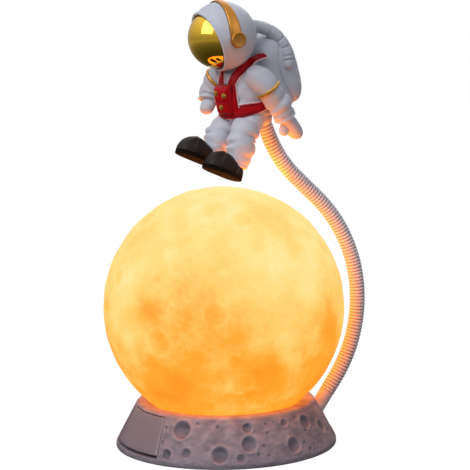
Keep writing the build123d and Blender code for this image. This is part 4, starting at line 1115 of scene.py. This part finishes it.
def make_hose(name, first_rib, last_rib, stands_for):
    """Ribbed hose between two ribs: the radius is a cosine wave; painted shade darkens valleys and ends."""
    ribs = np.linspace(first_rib, last_rib, (last_rib - first_rib) * NECK_RIB_STEPS + 1)
    centres = neck_line(ribs)
    valley = 0.5 + 0.5 * np.cos(TURN * ribs)
    grid = tube(centres, NECK_RADIUS - NECK_VALLEY * valley, SIDEWAYS, NECK_SIDES)
    ends = [np.stack([grid[end], centres[end] + (grid[end] - centres[end]) * NECK_BORE / NECK_RADIUS])
            for end in (0, -1)]
    shade = [rows_of(valley ** NECK_SHADE_POWER, NECK_SIDES)] + [np.ones(end.shape[:2]) for end in ends]
    made = piece(name, [(part, True) for part in (grid, *ends)], HOSE, None, stands_for, shade)
    start, end = neck_line(np.array([first_rib, last_rib]) + NECK_BLEND_RIBS) * MM
    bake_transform(made)


def make_gooseneck():
    """The hose in two lengths."""
    make_hose("gooseneck_lower_length", 0, NECK_SPLIT_RIB,
              ["gooseneck_lower", "gooseneck_middle"])
    make_hose("gooseneck_upper_length", NECK_SPLIT_RIB, NECK_RIBS, ["gooseneck_upper"])


def from_figure(points):
    """Points of the figure's frame in the lamp's."""
    return turned(points, FIGURE_TURN, 2) + FIGURE_ORIGIN


def from_lean(points):
    """Points of the leaning chest's frame in the lamp's."""
    return from_figure(turned(points, TORSO_LEAN, 0) + (0.0, 0.0, LEAN_HEIGHT))


def from_head(points):
    """Points of the head's frame in the lamp's: the visor looks along -Y."""
    return from_figure(turned(turned(points, HELMET_PITCH, 0), HELMET_TURN, 2) + HELMET_CENTRE)


def figure_piece(name, grid, look, stands_for=(), shade=None, place=from_figure, ring=True):
    """Piece of the figure made of one grid, in the frame that place() takes it from."""
    piece(name, [(place(grid), ring)], look, "figure", stands_for, None if shade is None else [shade])


def torso_section(height):
    """Middle, half width and half depth of the torso at heights."""
    share = np.interp(height, TORSO[:, 0], np.linspace(0, 1, len(TORSO)))
    rows = through(TORSO, share.ravel()).reshape(*np.shape(height), 4)
    return rows[..., 1], rows[..., 2], rows[..., 3]


def onto_torso(points, lift=0.0):
    """Points moved level to the torso's surface, then out along its normal by lift, and the normals."""
    middle, width, depth = torso_section(points[..., 2])
    x = points[..., 0] / width
    y = (points[..., 1] - middle) / depth
    reach = np.hypot(x, y)
    surface = np.stack([x / reach * width, middle + y / reach * depth, points[..., 2]], -1)
    normal = unit(np.stack([x / reach / width, y / reach / depth, 0 * x], -1))
    return surface + normal * np.asarray(lift)[..., None], normal


def make_torso():
    """Ovals through the torso's sections, with soft folds at the waist, closed at both ends."""
    height = np.linspace(TORSO[0, 0], TORSO[-1, 0], TORSO_GRID[0])[:, None]
    angle = spread(TORSO_GRID[1])[None]
    middle, width, depth = torso_section(height)
    grid = np.stack([width * np.cos(angle), middle + depth * np.sin(angle), height + 0 * angle], -1)
    folds = uneven(grid * TORSO_BROAD_STRETCH, TORSO_BROAD_RIPPLES) + uneven(grid, TORSO_FINE_RIPPLES)
    waist_depth, sway, waist_height, waist_width = WAIST_FOLD
    folds = folds - waist_depth * swell(height - sway * np.cos(2 * angle), waist_height, waist_width)
    # Painted shade: the suit's cool grey darkens the folds.
    shade = closed_shade(ease(-folds, *TORSO_SHADE))
    figure_piece("torso_suit", closed(onto_torso(grid, folds)[0]), SUIT, ["torso"], shade)


def strap_grids(line, half_width, rows):
    """Strip along a line laid on the torso: a flat top with rounded edges, a groove by each edge, and sides
    that go down into the torso. The places and normals at the line's points are joined by smooth curves.
    Above the shoulder the line is left where it is.

    Returns the strip, its painted shade, darker in the grooves, and the two edge lines."""
    place, normal = onto_torso(line)
    free = line[:, 2:] > SHOULDER_HEIGHT
    slope = np.tile(SHOULDER_SLOPE, (len(line), 1))
    slope[:, 0] *= np.sign(line[:, 0])
    keys = curve(np.concatenate([np.where(free, line, place), np.where(free, slope, normal)], -1), rows)
    centre = keys[:, :3]
    normal = unit(keys[:, 3:])
    across = unit(np.cross(normal, unit(np.gradient(centre, axis=0)))) * half_width(centre)
    edge_share, edge_lift = STRAP_EDGE.T
    flat = np.linspace(-STRAP_FLAT, STRAP_FLAT, STRAP_FLAT_COLUMNS)
    share = np.concatenate([-edge_share, flat, edge_share[::-1]])
    lift = STRAP_LIFT * np.concatenate([edge_lift, np.ones(STRAP_FLAT_COLUMNS), edge_lift[::-1]])
    lift = lift - STRAP_GROOVE_DEPTH * swell(np.abs(share), STRAP_GROOVE_PLACE, 0.10)
    grid = centre[:, None] + across[:, None] * share[:, None] + normal[:, None] * lift[:, None]
    shade = np.broadcast_to(swell(np.abs(share), STRAP_GROOVE_PLACE, 0.12), grid.shape[:2])
    edges = []
    for side in (-EDGING_PLACE, EDGING_PLACE):
        edge = centre + across * side + normal * EDGING_LIFT
        laid = onto_torso(edge, EDGING_LIFT)[0]
        edges.append(laid + (edge - laid) * ease(edge[:, 2:], *SHOULDER_FADE))
    return grid, shade, edges


def belt_front(points):
    """Share from 0 at the torso's sides to 1 at its front."""
    return ease(-points[:, 1:2], 0.0, BELT_FRONT_REACH)


def belt_line():
    """Closed line round the torso, level in the leaning frame and a little higher in front."""
    line = around(1.0, spread(BELT_POINTS), 0.0) * (*BELT_START, 1.0)
    lean = math.radians(TORSO_LEAN)
    for _ in range(BELT_ROUNDS):
        up = BELT_UP + BELT_FRONT_RISE * belt_front(line)[:, 0]
        line[:, 2] = LEAN_HEIGHT + (up + line[:, 1] * math.sin(lean)) / math.cos(lean)
        line = onto_torso(line)[0]
    return np.concatenate([line, line[:1]])


def make_harness():
    """Shoulder straps, side bands and belt, with a pale edging along them. The belt is taller in front."""
    straps = [(belt_line(), lambda centre: BELT_HALF + BELT_FRONT_EXTRA * belt_front(centre), BELT_ROWS)]
    for mirror in ((1, 1, 1), (-1, 1, 1)):
        straps.append((np.array(SHOULDER_STRAP) * mirror, lambda centre: SHOULDER_STRAP_HALF, STRAP_ROWS))
        straps.append((np.array(SIDE_BAND) * mirror, lambda centre: SIDE_BAND_HALF, STRAP_ROWS))
    grids, shades, pipes = [], [], []
    for strap in straps:
        grid, shade, edges = strap_grids(*strap)
        grids.append((from_figure(grid), False))
        shades.append(shade)
        for edge in edges:
            pipe = tube(edge, np.full(len(edge), EDGING_RADIUS), EDGING_GUIDE, EDGING_SIDES)
            pipes.append((from_figure(pipe), True))
    piece("harness_straps", grids, RED, "figure", ["harness"], shades)
    piece("harness_edging", pipes, EDGING, "figure")


def chest_waist(across, up):
    """Shallow groove across the chest box."""
    depth, place, width = CHEST_WAIST
    return depth * swell(up, place, width) * (1 - np.abs(across) ** 4)


def chest_front(across, up):
    """Place in Y of the chest box's face at shares of its half sizes: the depth falls off near the four edges
    as a high power, under a gentle crown with a shallow waist, and grows towards the lower end."""
    full = (1 - np.abs(across) ** 7) ** 0.5 * (1 - np.abs(up) ** 8) ** 0.5
    crown = CHEST_CROWN * (1 - across ** 2) * (1 - up ** 2)
    depth = (CHEST_FLAT_DEPTH + CHEST_LOW_EXTRA * (1 - up) / 2) * full + crown - chest_waist(across, up)
    return CHEST_FACE + CHEST_DEPTH - depth


def make_chest_box():
    """Pillow-like box that stands out from the chest by its depth."""
    across, up = np.meshgrid(np.linspace(-1, 1, CHEST_GRID[1]), np.linspace(-1, 1, CHEST_GRID[0]))
    height = CHEST_MIDDLE + up * CHEST_HALF_HEIGHT
    grid = np.stack([across * CHEST_HALF_WIDTH, chest_front(across, up), height], -1)
    # Painted shade: a darker red in the waist groove and along the box's edges.
    rim = ease(np.maximum(np.abs(across), np.abs(up)), 0.97, 1.0)
    shade = np.maximum(2 * chest_waist(across, up), rim)
    figure_piece("chest_pack", grid, RED, ["chest_box"], shade, from_lean, False)


def make_chest_knobs():
    """Domed knobs, each in a low ring: turned profiles set on the chest box's face."""
    profile = curve(KNOB_PROFILE, KNOB_GRID[0])
    knob = lathe(profile, KNOB_GRID[1])[..., [0, 2, 1]] * KNOB_SIZE * (1, -1, 1)
    grids = []
    for across, up in KNOBS:
        front = chest_front(across / CHEST_HALF_WIDTH, (up - CHEST_MIDDLE) / CHEST_HALF_HEIGHT)
        grids.append((from_lean(knob + (across, front + KNOB_LIFT, up)), True))
    # Darker all over for the knobs' own dull gold, plus painted shade in the groove between ring and dome.
    painted_shade_and_tone = rows_of(0.25 + swell(profile[:, 0], 1.46, 0.2), KNOB_GRID[1])
    piece("chest_dials", grids, GOLD, "figure", ["chest_knobs"], [painted_shade_and_tone] * len(grids))


def about_visor(radius, angle, depth):
    """Points round the visor's axis."""
    return np.stack([radius * np.cos(angle), depth + 0 * angle, radius * np.sin(angle)], -1)


def make_helmet():
    """Turned about the visor's axis: a ball from the back, then a lip that rolls in round the visor, fuller
    at the brow."""
    arc = np.linspace(0, math.acos(-HELMET_LIP_START / HELMET_RADIUS), HELMET_BALL_ROWS)
    ball = np.stack([HELMET_RADIUS * np.sin(arc), HELMET_RADIUS * np.cos(arc)], -1)
    profile = np.concatenate([ball, curve([ball[-1], *HELMET_LIP], HELMET_LIP_ROWS)[1:]])
    angle = spread(HELMET_SIDES)[None]
    brow = HELMET_BROW * np.clip(-profile[:, 1:] - HELMET_BROW_START, 0, None) * np.sin(angle)
    grid = about_visor(profile[:, :1], angle, profile[:, 1:] - brow)
    # Painted shade: the inner face of the lip round the visor is darker.
    painted_shade_and_tone = HELMET_SHADE_SHARE * ease(profile[:, 0], *HELMET_SHADE) * (profile[:, 1] < 0)
    figure_piece("helmet_shell", grid, SUIT, ["helmet"], rows_of(painted_shade_and_tone, HELMET_SIDES), from_head)


def make_visor():
    """Cap of a ball inside the helmet's lip, and the thin dark seal round it."""
    rows, sides = VISOR_GRID
    dome = (VISOR_RADIUS ** 2 + VISOR_RISE ** 2) / (2 * VISOR_RISE)
    polar = np.linspace(0, math.asin(VISOR_RADIUS / dome), rows)[:, None]
    depth = dome * (1 - np.cos(polar)) - VISOR_PLANE - VISOR_RISE
    cap = about_visor(dome * np.sin(polar), spread(sides)[None], depth)
    skirt = cap[-1:] + (0.0, VISOR_SKIRT, 0.0)
    figure_piece("visor_dome", np.concatenate([cap, skirt]), VISOR, ["visor"], place=from_head)
    path = about_visor(SEAL_RADIUS, spread(sides), -VISOR_PLANE - SEAL_OUT)
    path = np.concatenate([path, path[:1]])
    seal = tube(path, np.full(len(path), SEAL_THICKNESS), (0.0, 1.0, 0.0), SEAL_SIDES)
    figure_piece("visor_seal", seal, BLACK, place=from_head)


def make_headband():
    """Band over the helmet from ear to ear, wider towards the ears, with rounded edges and a dark line along
    them."""
    along = np.radians(np.linspace(-HEADBAND_REACH, HEADBAND_REACH, HEADBAND_GRID[0]))[:, None]
    share = np.linspace(-1, 1, HEADBAND_GRID[1])[None]
    tilt = share * (HEADBAND_HALF + HEADBAND_EAR_EXTRA * ease(np.abs(along), 0.5, 1.5)) / HELMET_RADIUS
    radius = HELMET_RADIUS + HEADBAND_THICKNESS * (1 - np.abs(share) ** 6) ** 0.5 - HEADBAND_SUNK
    grid = np.stack([radius * np.cos(tilt) * np.sin(along), radius * np.sin(tilt),
                     radius * np.cos(tilt) * np.cos(along)], -1)
    # Painted shade: a dark line along both edges, where the band meets the helmet.
    shade = np.broadcast_to(ease(np.abs(share), 0.86, 0.99), grid.shape[:2])
    grid = turned(grid, HEADBAND_LEAN, 0)
    figure_piece("headband_arch", grid, BRONZE, ["headband"], shade, from_head, False)


def make_ear_discs():
    """Turned discs over the ends of the headband, with a rounded rim and a dished face."""
    profile = curve(EAR_PROFILE, EAR_GRID[0])
    disc = lathe(profile, EAR_GRID[1])
    grids = []
    for side in (1, -1):
        local = np.stack([side * (HELMET_RADIUS + disc[..., 2]), disc[..., 0], disc[..., 1] - EAR_DROP], -1)
        grids.append((from_head(local), True))
    # The dished face is a darker bronze of its own; painted shade darkens the rim's foot where it meets the
    # helmet.
    painted_shade_and_tone = rows_of(0.34 * ease(profile[:, 0], 4.6, 3.9) + 0.8 * swell(profile[:, 1], 0.2, 0.5), EAR_GRID[1])
    piece("ear_caps", grids, BRONZE, "figure", ["ear_discs"], [painted_shade_and_tone, painted_shade_and_tone])


def make_backpack():
    """Squarish ball: along each direction the reach is the power mean of the half sizes; soft dents and a
    seam break it up."""
    ways = directions(np.linspace(0, math.pi, PACK_GRID[0]), PACK_GRID[1])
    reach = (np.abs(ways / PACK_HALF) ** PACK_SQUARENESS).sum(-1) ** (-1 / PACK_SQUARENESS)
    grid = ways * reach[..., None]
    depth, place, bend, width = PACK_SEAM
    dents = uneven(grid, PACK_RIPPLES) - depth * swell(grid[..., 1], place + bend * grid[..., 2] ** 2, width)
    grid = grid + ways * dents[..., None] + PACK_MIDDLE
    # Painted shade: the suit's cool grey darkens the dents and the seam.
    figure_piece("life_support_pack", grid, SUIT, ["backpack"], ease(-dents, *PACK_SHADE), from_lean)


def make_air_hoses():
    """Bent tubes from the helmet to the pack's sides: full between soft creases, tapering to a round tip."""
    rows, sides = AIR_HOSE_GRID
    share = np.linspace(0, 1, rows)
    crease = 0.4 * swell(share, AIR_HOSE_SOFT_CREASE, 0.03)
    crease = crease + sum(swell(share, place, 0.014) for place in AIR_HOSE_CREASES)
    puff = sum(swell(share, (start + end) / 2, (end - start) * 0.4)
               for start, end in zip(AIR_HOSE_CREASES, AIR_HOSE_CREASES[1:]))
    tip = np.sqrt(1 - past(share, AIR_HOSE_TIP) ** 2.4) * (1 - 0.10 * ease(share, *AIR_HOSE_TAPER))
    radii = AIR_HOSE_RADIUS + AIR_HOSE_PUFF * puff - AIR_HOSE_CREASE_DEPTH * crease
    radii = radii * np.maximum(tip, 0.05)
    # Painted shade: the suit's cool grey darkens the creases.
    shade = closed_shade(rows_of(AIR_HOSE_SHADE_SHARE * crease, sides))
    for side, mirror in (("left", 1), ("right", -1)):
        grid = closed(tube(through(AIR_HOSE, share) * (mirror, 1, 1), radii, SIDEWAYS, sides))
        figure_piece(side + "_air_line", grid, SUIT, [side + "_air_hose"], shade)


def folds_at(share, angle, creases):
    """Depth of folds on a limb: each crease is a groove whose place sways round the limb, with a puff either
    side."""
    mean, sway = FOLD_STRENGTH
    puff, *puff_shape = FOLD_PUFF
    total = np.zeros((len(share), len(angle)))
    for place, tilt, phase, depth, width in creases:
        offset = (share[:, None] - place - tilt * np.cos(angle - phase)) / width
        strength = mean + sway * np.cos(angle * 2 - phase)
        total += depth * strength * (puff * swell(np.abs(offset), *puff_shape) - swell(offset, 0, 1))
    return total


def make_limb(name, stations, creases, seed, guide, stands_for):
    """Sleeve or trouser leg: rings on a curve through its stations, pushed in at the creases, with a cuff."""
    rows, sides = LIMB_GRID
    share = np.linspace(0, 1, rows)
    path = through(stations, share)
    plain = tube(path[:, :3], path[:, 3], guide, sides)
    grooves = folds_at(share, spread(sides), creases)
    folds = grooves + uneven(plain, [(*layer, seed + step) for step, layer in enumerate(LIMB_RIPPLES)])
    height, *cuff_shape = CUFF_SWELL
    fall, start = CUFF_END
    cuff = height * swell(share, *cuff_shape) - fall * ease(share, start, 1.0)
    grid = tube(path[:, :3], (path[:, 3] + cuff)[:, None] + folds, guide, sides)
    # Painted shade: the suit's cool grey darkens the creases.
    shade = closed_shade(LIMB_SHADE_SHARE * ease(-grooves, *LIMB_SHADE))
    figure_piece(name, closed(grid), SUIT, stands_for, shade)


def sleeve_band(stations, place):
    """Gold band round a sleeve: a flattened ring square to the sleeve."""
    before, middle, after = through(stations, np.array([place - 0.01, place, place + 0.01]))
    along = unit(after[:3] - before[:3])
    across = unit(np.cross(along, ARM_GUIDE))
    turn = spread(BAND_GRID[0])[:, None, None]
    roll = spread(BAND_GRID[1])[None, :, None]
    radius = middle[3] + BAND_LIFT + BAND_HALF_THICKNESS * np.cos(roll)
    out = np.cos(turn) * across + np.sin(turn) * np.cross(across, along)
    ring = middle[:3] + out * radius + along * BAND_HALF_WIDTH * np.sin(roll)
    return np.concatenate([ring, ring[:1]])


def finger(stations, size, flatness):
    """Rounded finger or palm: rings on a curve, closed by a round tip."""
    rows, sides = size
    share = np.linspace(0, 1, rows)
    path = through(stations, share)
    tip = past(share, FINGER_TIP)
    path[:, :3] += (path[-1, :3] - path[-2, :3]) * (tip * rows * FINGER_TIP_STRETCH)[:, None]
    radii = path[:, 3] * np.maximum(np.sqrt(1 - tip ** FINGER_TIP_POWER), 0.02)
    return from_figure(closed(tube(path[:, :3], radii, HAND_GUIDE, sides, flatness)))


def make_arms():
    """Sleeves with their gold bands, and mittens with thumbs."""
    for side, arm, creases, place, hand, thumb, seed in (
            ("left", LEFT_ARM, LEFT_ARM_CREASES, LEFT_BAND_PLACE, LEFT_HAND, LEFT_THUMB, 61),
            ("right", RIGHT_ARM, RIGHT_ARM_CREASES, RIGHT_BAND_PLACE, RIGHT_HAND, RIGHT_THUMB, 71)):
        make_limb(side + "_sleeve", arm, creases, seed, ARM_GUIDE, [side + "_arm"])
        figure_piece(side + "_sleeve_band", sleeve_band(arm, place), GOLD, [side + "_arm_ring"])
        fingers = [finger(hand, PALM_GRID, PALM_FLATNESS), finger(thumb, THUMB_GRID, 1.0)]
        shade = [np.zeros(grid.shape[:2]) for grid in fingers]
        piece(side + "_mitten", [(grid, True) for grid in fingers], SUIT, "figure", [side + "_glove"], shade)


def make_legs():
    """Trouser legs with deep folds at the knees."""
    for side, leg, seed in (("left", LEFT_LEG, 81), ("right", RIGHT_LEG, 91)):
        make_limb(side + "_trouser", leg, LEG_CREASES, seed, SIDEWAYS, [side + "_leg"])


def rounded_off(share, power, root):
    """Factor along a length that is one in the middle and falls to zero at both ends."""
    return (1 - np.abs(2 * share - 1) ** power) ** root


def waisted(place, depth, middle, width):
    """Factor that narrows a form at a waist."""
    return 1 - depth * swell(place, middle, width)


def boot_upper():
    """Boot's upper: along runs from heel to toe, and each cross-section is an arch over the sole.

    The height rises from the heel to the instep and falls to the toe; seams stand as thin ridges."""
    share = np.linspace(0.0, 1.0, BOOT_GRID[0])[:, None]
    arch = np.linspace(0, math.pi, BOOT_GRID[1])[None]
    waist = waisted(share, *BOOT_WAIST)
    width = (BOOT_HALF_WIDTH - BOOT_INSET) * rounded_off(share, *BOOT_WIDTH_POWERS) * waist
    kernel = np.exp(-np.linspace(-2, 2, 2 * BOOT_SMOOTHING_ROWS + 1) ** 2)
    rough = np.pad(np.interp(share[:, 0], *zip(*BOOT_HEIGHTS)), BOOT_SMOOTHING_ROWS, "edge")
    height = np.convolve(rough, kernel / kernel.sum(), "valid")[:, None]
    height = height * rounded_off(share, *BOOT_HEIGHT_POWERS)
    toe_place, toe_sway, toe_width = BOOT_TOE_SEAM
    heel_place, heel_sway, heel_width = BOOT_HEEL_SEAM
    toe_seam = share - toe_place - toe_sway * np.cos(arch) ** 2
    heel_seam = share - heel_place + heel_sway * np.sin(arch)
    welt = swell(toe_seam, 0, toe_width) + swell(heel_seam, 0, heel_width)
    dip, *dip_shape = BOOT_SEAM_DIP
    ridge = BOOT_SEAM_RIDGE * welt - dip * swell(toe_seam, *dip_shape)
    across_power, rise_power = BOOT_ARCH_POWERS
    across = (width + ridge) * squared(np.cos(arch), across_power)
    along = -BOOT_END_GAP - share * (BOOT_LENGTH - 2 * BOOT_END_GAP)
    rise = SOLE_THICKNESS - BOOT_SUNK + (height + ridge) * squared(np.sin(arch), rise_power)
    # The second value marks the seam ridges, which the boot finish lightens as a painted highlight.
    return np.stack([across, along + 0 * arch, rise], -1), np.clip(welt * np.abs(np.sin(arch)) ** 0.3, 0, 1)


def boot_sole():
    """Sole: a long oval with a waist at several heights, with a groove under the welt, and a floor with cross
    grooves."""
    angle = spread(SOLE_GRID[1])
    along_power, across_power = SOLE_POWERS
    along = squared(np.cos(angle), along_power)
    across = BOOT_HALF_WIDTH * squared(np.sin(angle), across_power) * waisted(along, *SOLE_WAIST)
    outline = np.stack([across, BOOT_LENGTH / 2 * (along - 1)], -1)
    middle = outline.mean(0)
    rows = curve(SOLE_EDGE, SOLE_GRID[0])
    reach = outline + unit(outline - middle) * rows[:, :1, None]
    edge = np.concatenate([reach, rows_of(rows[:, 1], SOLE_GRID[1])[..., None]], -1)
    share = np.linspace(0, 1, SOLE_FLOOR_ROWS)[:, None, None]
    floor = middle + (reach[0] - middle) * share
    wave = np.sin(TURN * floor[..., 1:] / TREAD_PITCH)
    tread = TREAD_DEPTH * ease(wave, 0.2, 0.6) * ease(share, 0.98, 0.90)
    return np.concatenate([np.concatenate([floor, tread], -1), edge[1:]])


def make_boots():
    """Both boots, tilted toe up about their heels."""
    upper, ridges = boot_upper()
    sole = boot_sole()
    for side, heel in (("left", LEFT_HEEL), ("right", RIGHT_HEEL)):
        def place(points):
            return from_figure(turned(points, -BOOT_TILT, 0) + heel)
        figure_piece(side + "_boot_upper", upper, BOOT, [side + "_boot"], ridges, place, False)
        figure_piece(side + "_boot_sole", sole, BLACK, [side + "_sole"], place=place)


def make_camera():
    """Camera at the photograph's place, with its slight roll."""
    azimuth, elevation, roll = np.radians((CAMERA_AZIMUTH, CAMERA_ELEVATION, CAMERA_ROLL))
    right = np.array([math.cos(azimuth), math.sin(azimuth), 0.0])
    away = np.array([math.sin(azimuth), -math.cos(azimuth), 0.0])
    back = away * math.cos(elevation) + np.array([0.0, 0.0, math.sin(elevation)])
    up = np.cross(back, right)
    target = right * CAMERA_TARGET_RIGHT + np.array([0.0, 0.0, CAMERA_TARGET_HEIGHT])
    columns = [right * math.cos(roll) + up * math.sin(roll),
               up * math.cos(roll) - right * math.sin(roll), back]
    lens = bpy.data.cameras.new("camera")
    lens.sensor_width = SENSOR
    lens.lens = CAMERA_FOCAL_PIXELS / PICTURE_SIDE * SENSOR
    camera = bpy.data.objects.new("camera", lens)
    matrix = np.eye(4)
    matrix[:3, :3] = np.stack(columns, -1)
    matrix[:3, 3] = target + back * CAMERA_DISTANCE
    camera.matrix_world = mathutils.Matrix(matrix.tolist())
    bpy.context.scene.collection.objects.link(camera)
    bpy.context.scene.camera = camera


def add_lamp(name, kind, place, power, colour, **settings):
    """Lamp of a kind at a place."""
    lamp = bpy.data.lights.new(name, kind)
    lamp.energy = power
    lamp.color = colour
    for key, value in settings.items():
        setattr(lamp, key, value)
    holder = bpy.data.objects.new(name, lamp)
    holder.location = place
    bpy.context.scene.collection.objects.link(holder)
    return holder


def make_lamps():
    """Soft square lamps that face the object."""
    for name, place, height, size, power, colour in LAMPS:
        holder = add_lamp(name, "AREA", place, power, colour, size=size)
        way = mathutils.Vector((0.0, 0.0, height)) - mathutils.Vector(place)
        holder.rotation_mode = "QUATERNION"
        holder.rotation_quaternion = way.to_track_quat("-Z", "Y")


def make_glow():
    """The light that the moon sheds: a round lamp as large as the globe, and a disc on its crown."""
    globe = add_lamp("moonlight", "POINT", GLOBE_CENTRE * MM, GLOW_POWER, GLOW_COLOUR,
                     shadow_soft_size=(GLOBE_RADIUS + GLOW_GAP) * MM, use_soft_falloff=False)
    top = (0.0, 0.0, (GLOBE_HEIGHT + GLOBE_RADIUS + CROWN_GAP) * MM)
    crown = add_lamp("moonlight_crown", "AREA", top, CROWN_POWER, GLOW_COLOUR, shape="DISK",
                     size=2 * CROWN_RADIUS * MM)
    crown.rotation_euler = (math.pi, 0.0, 0.0)
    for made in (globe, crown):
        made.visible_camera = False
        made.visible_glossy = False


def make_world():
    """Soft grey surroundings that brighten upwards in reflections, white where the camera looks past the
    object."""
    world = bpy.data.worlds.new("studio")
    bpy.context.scene.world = world
    world.use_nodes = True
    tree = Tree(world.node_tree)
    way = tree.value("ShaderNodeTexCoord", output="Generated")
    up = tree.value("ShaderNodeSeparateXYZ", {}, {0: way}, "Z")
    mirrored = tree.remap(up, WORLD_MIRRORED_REACH, WORLD_MIRRORED)
    unseen = tree.pick(tree.ray("Is Glossy Ray"), WORLD_AMBIENT, mirrored)
    background = world.node_tree.nodes["Background"]
    tree.feed(background.inputs["Strength"], tree.pick(tree.ray("Is Camera Ray"), unseen, 1.0))
    tree.feed(background.inputs["Color"], (1.0, 1.0, 1.0))


def make_floor():
    """Plain pale floor: seen by the camera it is near white and keeps the object's shadow; mirrored it is
    darker."""
    finish = Finish("floor")
    finish.set(Base_Color=(FLOOR_ALBEDO,) * 3, Roughness=FLOOR_ROUGHNESS, Specular_IOR_Level=0.0)
    distance = finish.value("ShaderNodeVectorMath", {"operation": "LENGTH"}, {0: finish.place}, "Value")
    mirrored = finish.remap(distance, FLOOR_MIRRORED_REACH, FLOOR_MIRRORED)
    surface = Value(finish, finish.shader.outputs[0])
    for share, strength in ((finish.ray("Is Glossy Ray"), mirrored),
                            (finish.ray("Is Camera Ray") * FLOOR_WHITE_SHARE, FLOOR_WHITE)):
        white = finish.value("ShaderNodeEmission", {}, {"Strength": strength})
        surface = finish.value("ShaderNodeMixShader", {}, {0: share, 1: surface, 2: white})
    finish.feed(finish.tree.nodes["Material Output"].inputs["Surface"], surface)
    corners = [(x * FLOOR_SIDE, y * FLOOR_SIDE, 0) for x, y in ((-1, -1), (1, -1), (1, 1), (-1, 1))]
    mesh = bpy.data.meshes.new("floor")
    mesh.from_pydata(corners, [], [(0, 1, 2, 3)])
    mesh.materials.append(finish.material)
    floor = bpy.data.objects.new("floor", mesh)
    bpy.context.scene.collection.objects.link(floor)


bpy.context.scene.view_settings.view_transform = "Standard"
make_camera()
make_world()
make_floor()
make_lamps()
make_glow()
dress_inner_nodes()
make_moon()
make_base()
make_panel()
make_gooseneck()
make_torso()
make_harness()
make_chest_box()
make_chest_knobs()
make_helmet()
make_visor()
make_headband()
make_ear_discs()
make_backpack()
make_air_hoses()
make_arms()
make_legs()
make_boots()
